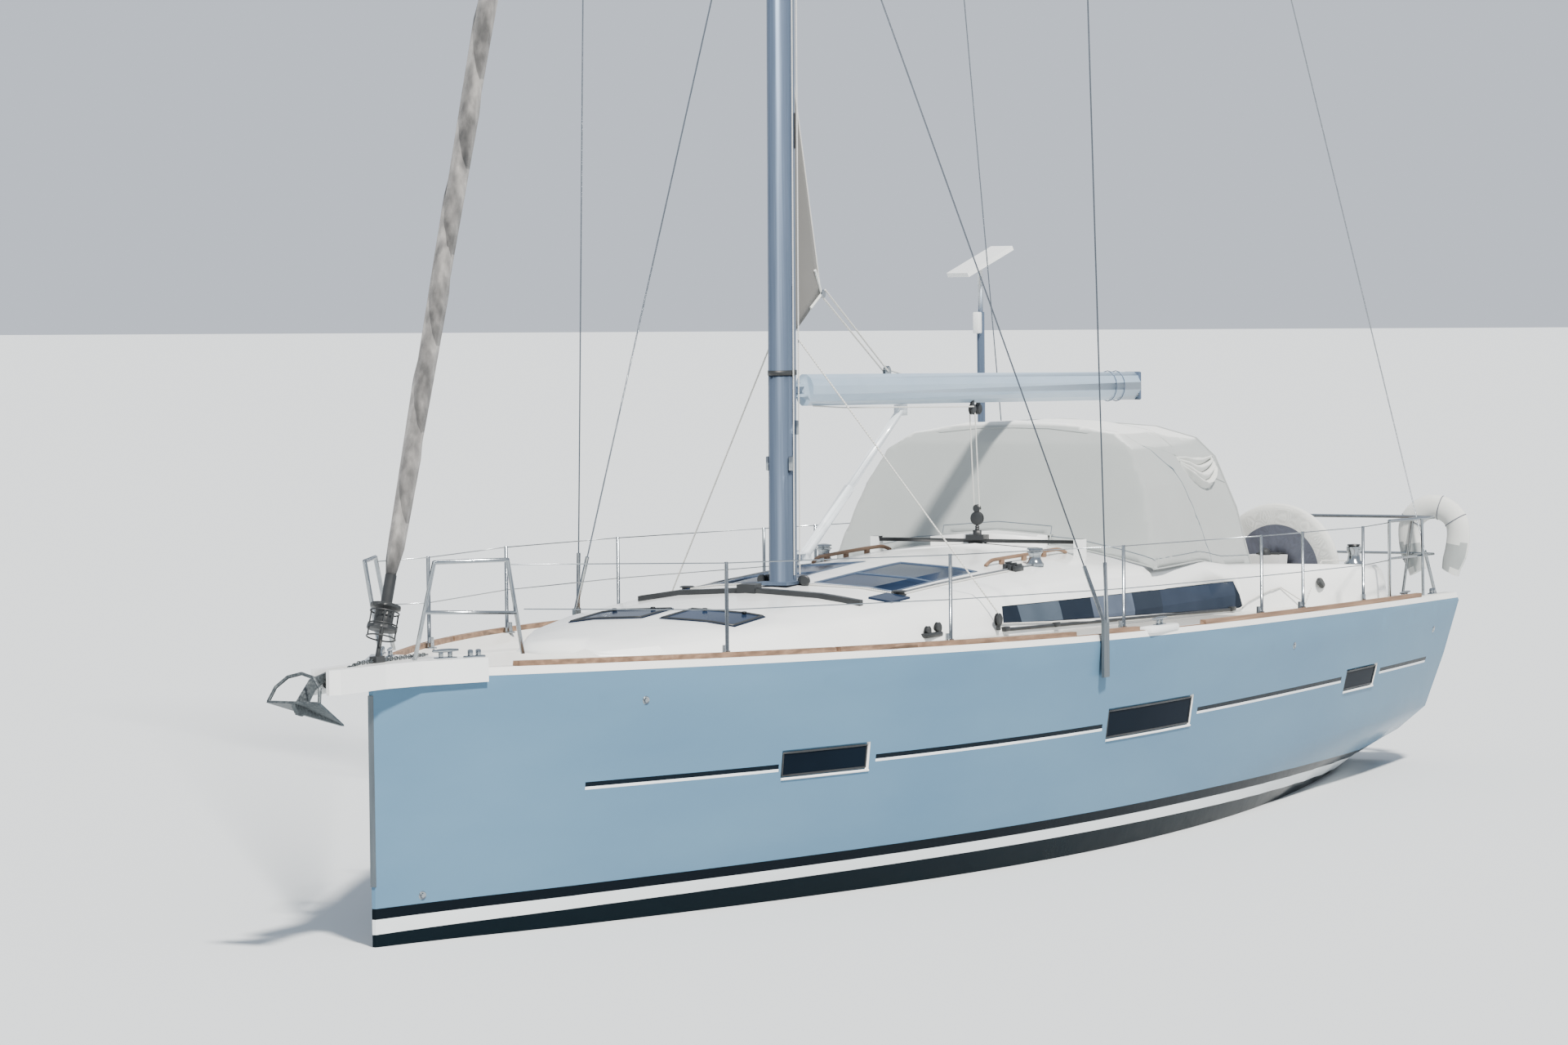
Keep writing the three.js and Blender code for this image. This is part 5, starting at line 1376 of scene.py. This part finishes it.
# %% Mast fittings
def mast_middle(z):
    """The mast's centre line leans aft a little."""
    return 1.33 - 0.012 * (z - 1.903)


BAND_Z, BAND_HALF = 3.385, 0.0175
band = bmesh.new()
for level in (BAND_Z - BAND_HALF, BAND_Z + BAND_HALF):
    oval = Matrix.Translation((mast_middle(level), 0, level)) @ Matrix.Diagonal((0.1365, 0.0865, 1, 1))
    bmesh.ops.create_circle(band, segments=32, radius=1.0, matrix=oval)
bmesh.ops.bridge_loops(band, edges=band.edges[:])
thicken(from_shape("mast_bands", band, plastic), "band_thickness", 0.004, 1)
exits = [block((-0.02, 0.078, -0.05), (0.02, 0.1, 0.05), 0.006, (mast_middle(z) + shift, 0, z))
         for z, shift in ((2.75, 0.05), (3.0, -0.05))]
on_both_sides("mast_exits", exits, stainless)
print(len(exits), "exits a side")

# %% Boom fittings
BOOM_END, BOOM_RISE = -4.8, 0.107 / 5.78
cap = block((-0.012, -0.074, 3.035), (0.02, 0.074, 3.262), 0.012, (BOOM_END, 0, 0))
from_shape("boom_end_casting", cap, anodised, "boom")
ring_turns = [a * math.pi / 8 for a in range(17)]
boom_rings = []
for x in (-4.3, -4.46):
    centre = 3.148 + (x - BOOM_END) * BOOM_RISE
    boom_rings.append([Vector((x, 0.0805 * math.cos(a), centre + 0.121 * math.sin(a))) for a in ring_turns])
bars("boom_bands", boom_rings, 0.0035, anodised, "boom")
end_sheaves = [sheave_block((BOOM_END + 0.03, y, 3.1), 0.035) for y in (0.045, -0.045)]
from_shape("boom_sheaves", together(*end_sheaves), stainless, "boom")
print("boom ends at", BOOM_END)

# %% [markdown]
# ## Furled mainsail
# The mainsail rolls up inside the mast, and only its lower corner stays out, as a narrow grey strip with
# white webbing at the corner. Two ropes pull that corner out along the boom. The strip runs between the
# mast and the boom with a slight curve.

# %% Sail strip
TACK, CORNER, HEAD = Vector((1.165, 0, 3.64)), Vector((0.71, 0, 3.94)), Vector((1.17, 0, 5.7))


def strip_place(u, v):
    """A point of the strip: u runs out from the mast and v runs up."""
    spot = TACK.lerp(CORNER, u).lerp(HEAD, v * 0.97)
    spot.y = 0.012 * math.sin(math.pi * u) * (1 - v)
    return spot


strip = bmesh.new()
rows = sheet_of(strip, strip_place, 8, 24)
strip_edge = [row[-1].co.copy() for row in rows]
strip_mesh = bpy.data.meshes.new("mainsail_strip")
strip.to_mesh(strip_mesh)
strip.free()
mainsail = settle("mainsail_strip", strip_mesh, strip_cloth, None)
thicken(mainsail, "sail_thickness", 0.003)
leech = bars("mainsail_leech", [strip_edge], 0.006, rope_white, None)
for piece in (mainsail, leech):
    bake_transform(piece)
print("strip", round(area_of(mainsail), 2), "m2")

# %% Outhaul
CLEW = Vector((0.7, 0, 3.93))
OUTHAUL = Vector((-0.34, 0, 3.31))
webbing = [[CLEW, Vector((0.82, 0.014, 4.1))], [CLEW, Vector((0.9, 0.014, 3.83))]]
bars("clew_webbing", webbing, 0.011, canvas_white, "boom")
ropes = [[CLEW + Vector((-0.02, y, z)), OUTHAUL + Vector((0.02, y, 0.05))]
         for y, z in ((-0.02, 0.0), (0.02, 0.03))]
ropes.append([OUTHAUL + Vector((-0.02, 0, 0.06)), Vector((-0.8, 0, 3.3)), Vector((-1.25, 0, 3.315))])
bars("outhaul", ropes, 0.0065, rope_white, "boom")
pulleys = [sheave_block(OUTHAUL + Vector((0, 0, 0.045)), 0.045),
           sheave_block(CLEW + Vector((-0.01, 0, 0)), 0.032)]
from_shape("outhaul_blocks", together(*pulleys), stainless, "boom")
print("outhaul", round((CLEW - OUTHAUL).length, 2), "m")

# %% Mast slots
slots = []
for low_z, high_z, shift in ((4.95, 5.2, -0.05), (3.82, 4.0, 0.0), (7.0, 7.25, -0.02)):
    middle = mast_middle((low_z + high_z) / 2) + shift
    slots.append(block((-0.009, 0.07, low_z), (0.009, 0.0865, high_z), 0.006, (middle, 0, 0)))
on_both_sides("mast_slots", slots, plastic)
print(len(slots), "slots a side")

# %% [markdown]
# ## Bow gear
# The furling drum turns inside a cage of thin hoops. The anchor's chain comes over the roller and runs
# into the locker: each link is a small oval, and every second one stands on edge.

# %% Furler cage
DRUM = Vector((6.62, 0, 1.96))
DRUM_AXIS = Vector((-0.33, 0, 1)).normalized()
CAGE_RADIUS, CAGE_TILT, CAGE_HALF = 0.088, 0.03, 0.08


def on_cage(height, angle):
    """A point of the cage, whose hoops lie square to the leaning stay."""
    hoop = Vector((CAGE_RADIUS * math.cos(angle), CAGE_RADIUS * math.sin(angle), CAGE_TILT * math.cos(angle)))
    return DRUM + DRUM_AXIS * height + hoop


hoops = [[on_cage(height, a * math.pi / 12) for a in range(25)] for height in (-CAGE_HALF, 0.0, CAGE_HALF)]
uprights = [[on_cage(height, angle) for height in (-CAGE_HALF, CAGE_HALF)] for angle in (0.6, 2.5, 3.8, 5.7)]
bars("furler_cage", hoops + uprights, 0.005, plastic)
print(len(hoops), "hoops on", len(uprights), "uprights")


# %% Anchor chain
def link(at, along_chain, upright):
    """One chain link: a bar bent into an oval, 8 mm thick."""
    shape = bmesh.new()
    section = Matrix.Translation((0.0105, 0, 0)) @ Matrix.Rotation(math.pi / 2, 4, "X")
    bmesh.ops.create_circle(shape, segments=6, radius=0.004, matrix=section)
    revolve(shape, 12)
    for vertex in shape.verts:
        vertex.co.x += 0.008 if vertex.co.x > 0 else -0.008
    turn = Matrix.Rotation(math.pi / 2 if upright else 0.0, 4, "X")
    aim = Vector((1, 0, 0)).rotation_difference(along_chain).to_matrix().to_4x4()
    bmesh.ops.transform(shape, matrix=Matrix.Translation(at) @ aim @ turn, verts=shape.verts)
    return shape


LINK_PITCH = 0.026
CHAIN = [Vector((7.18, 0, 1.695)), Vector((6.9, 0, on_top(6.9, 0.0, 0.012).z)),
         Vector((6.42, 0, on_top(6.42, 0.05, 0.012).z)), Vector((6.1, 0, on_top(6.2, 0.05, 0.01).z))]
links = []
for start, end in zip(CHAIN, CHAIN[1:]):
    count = int((end - start).length / LINK_PITCH)
    for i in range(count):
        links.append(link(start.lerp(end, i / count), (end - start).normalized(), len(links) % 2 == 0))
print(len(links), "links")
from_shape("anchor_chain", together(*links), galvanised)

# %% [markdown]
# ## Small fittings
# Each guard-rail post stands in a socket with a round foot. The pedestals carry a compass and a display
# in front of the wheel, two clutches hold the sheets on each coaming, and a small hatch lies beside the
# mast. A short aerial box is clamped to the pole of the panel.

# %% Post sockets
POSTS = [4.26, 2.22, 0.06, -2.37, -3.23, -4.59]
SOCKET = [(0.013, 0.075), (0.018, 0.075), (0.02, 0.012), (0.038, 0.008), (0.038, 0.0)]
rail_points = [vertex.co for vertex in nodes["lifelines_port"].data.vertices]
feet = []
for x in POSTS:
    foot = min((point for point in rail_points if abs(point.x - x) < 0.03), key=lambda point: point.z)
    feet.append(spun(SOCKET, (x, foot.y, foot.z), steps=16))
on_both_sides("stanchion_sockets", feet, stainless)
print(len(feet) * 2, "post sockets")

# %% Helm instruments and clutches
HELM = Vector((-5.02, 1.08, 1.79))
COMPASS = [(0.05, 0.0), (0.052, 0.02), (0.044, 0.042), (0.024, 0.056), (0.0, 0.06)]
CAM = [(0.0, 0.0), (0.042, 0.0), (0.046, 0.012), (0.038, 0.03), (0.0, 0.034)]
screen = block((-0.1, -0.1, -0.004), (0.03, 0.1, 0.014), 0.008, HELM)
on_both_sides("helm_instruments", [screen, spun(COMPASS, HELM + Vector((0.085, 0, -0.002)))], plastic)
cams = [spun(CAM, at, (0.0, 0.88, 0.47), 20) for at in ((-4.72, 1.632, 1.583), (-4.86, 1.7, 1.533))]
on_both_sides("coaming_clutches", cams, plastic)
print(len(cams), "clutches a coaming")

# %% Roof hatches and aerial box
roof_pane = bmesh.new()
rim = [roof_pane.verts.new(on_top(x, y, 0.014)) for x, y in rectangle(1.56, 1.27, 0.78, 0.96)[:4]]
roof_pane.faces.new(rim)
under = bmesh.ops.extrude_face_region(roof_pane, geom=roof_pane.faces[:])["geom"]
lowered = [part for part in under if isinstance(part, bmesh.types.BMVert)]
bmesh.ops.translate(roof_pane, vec=(0, 0, -0.018), verts=lowered)
on_both_sides("roof_hatches", [roof_pane], hatch_acrylic)
from_shape("aerial_box", block((-5.972, -1.948, 3.56), (-5.9, -1.892, 3.74), 0.01), smooth_white)
print(len(lowered), "corners to a roof hatch")

# %% [markdown]
# ## Floor and light
# The yacht floats with its waterline on a plain pale floor. The sun stands high over the port bow and
# is made large, so its shadows are soft, and a pale sky fills the shade.

# %% Floor and light
ground = bmesh.new()
bmesh.ops.create_grid(ground, x_segments=2, y_segments=2, size=300)
floor_mesh = bpy.data.meshes.new("pale_floor")
ground.to_mesh(floor_mesh)
ground.free()
floor = bpy.data.objects.new("pale_floor", floor_mesh)
bpy.context.scene.collection.objects.link(floor)
floor.data.materials.append(finish("pale_floor", "CACED0", 0.9))

TOWARD_SUN = Vector((0.35, 0.45, 0.82))
sun_data = bpy.data.lights.new("sun", "SUN")
sun_data.energy = 8.4
sun_data.angle = math.radians(5)
sun_data.color = (1.0, 0.96, 0.9)
sun = bpy.data.objects.new("sun", sun_data)
bpy.context.scene.collection.objects.link(sun)
sun.rotation_euler = TOWARD_SUN.to_track_quat("Z", "Y").to_euler()
world = bpy.data.worlds.new("pale_sky")
bpy.context.scene.world = world
world.use_nodes = True
sky = world.node_tree.nodes["Background"]
sky.inputs["Color"].default_value = (0.82, 0.89, 1.0, 1.0)
sky.inputs["Strength"].default_value = 0.88
print("sun", sun_data.energy)

# %% [markdown]
# ## Scene update
# The view layer is brought up to date.

# %% Scene update
bpy.context.view_layer.update()
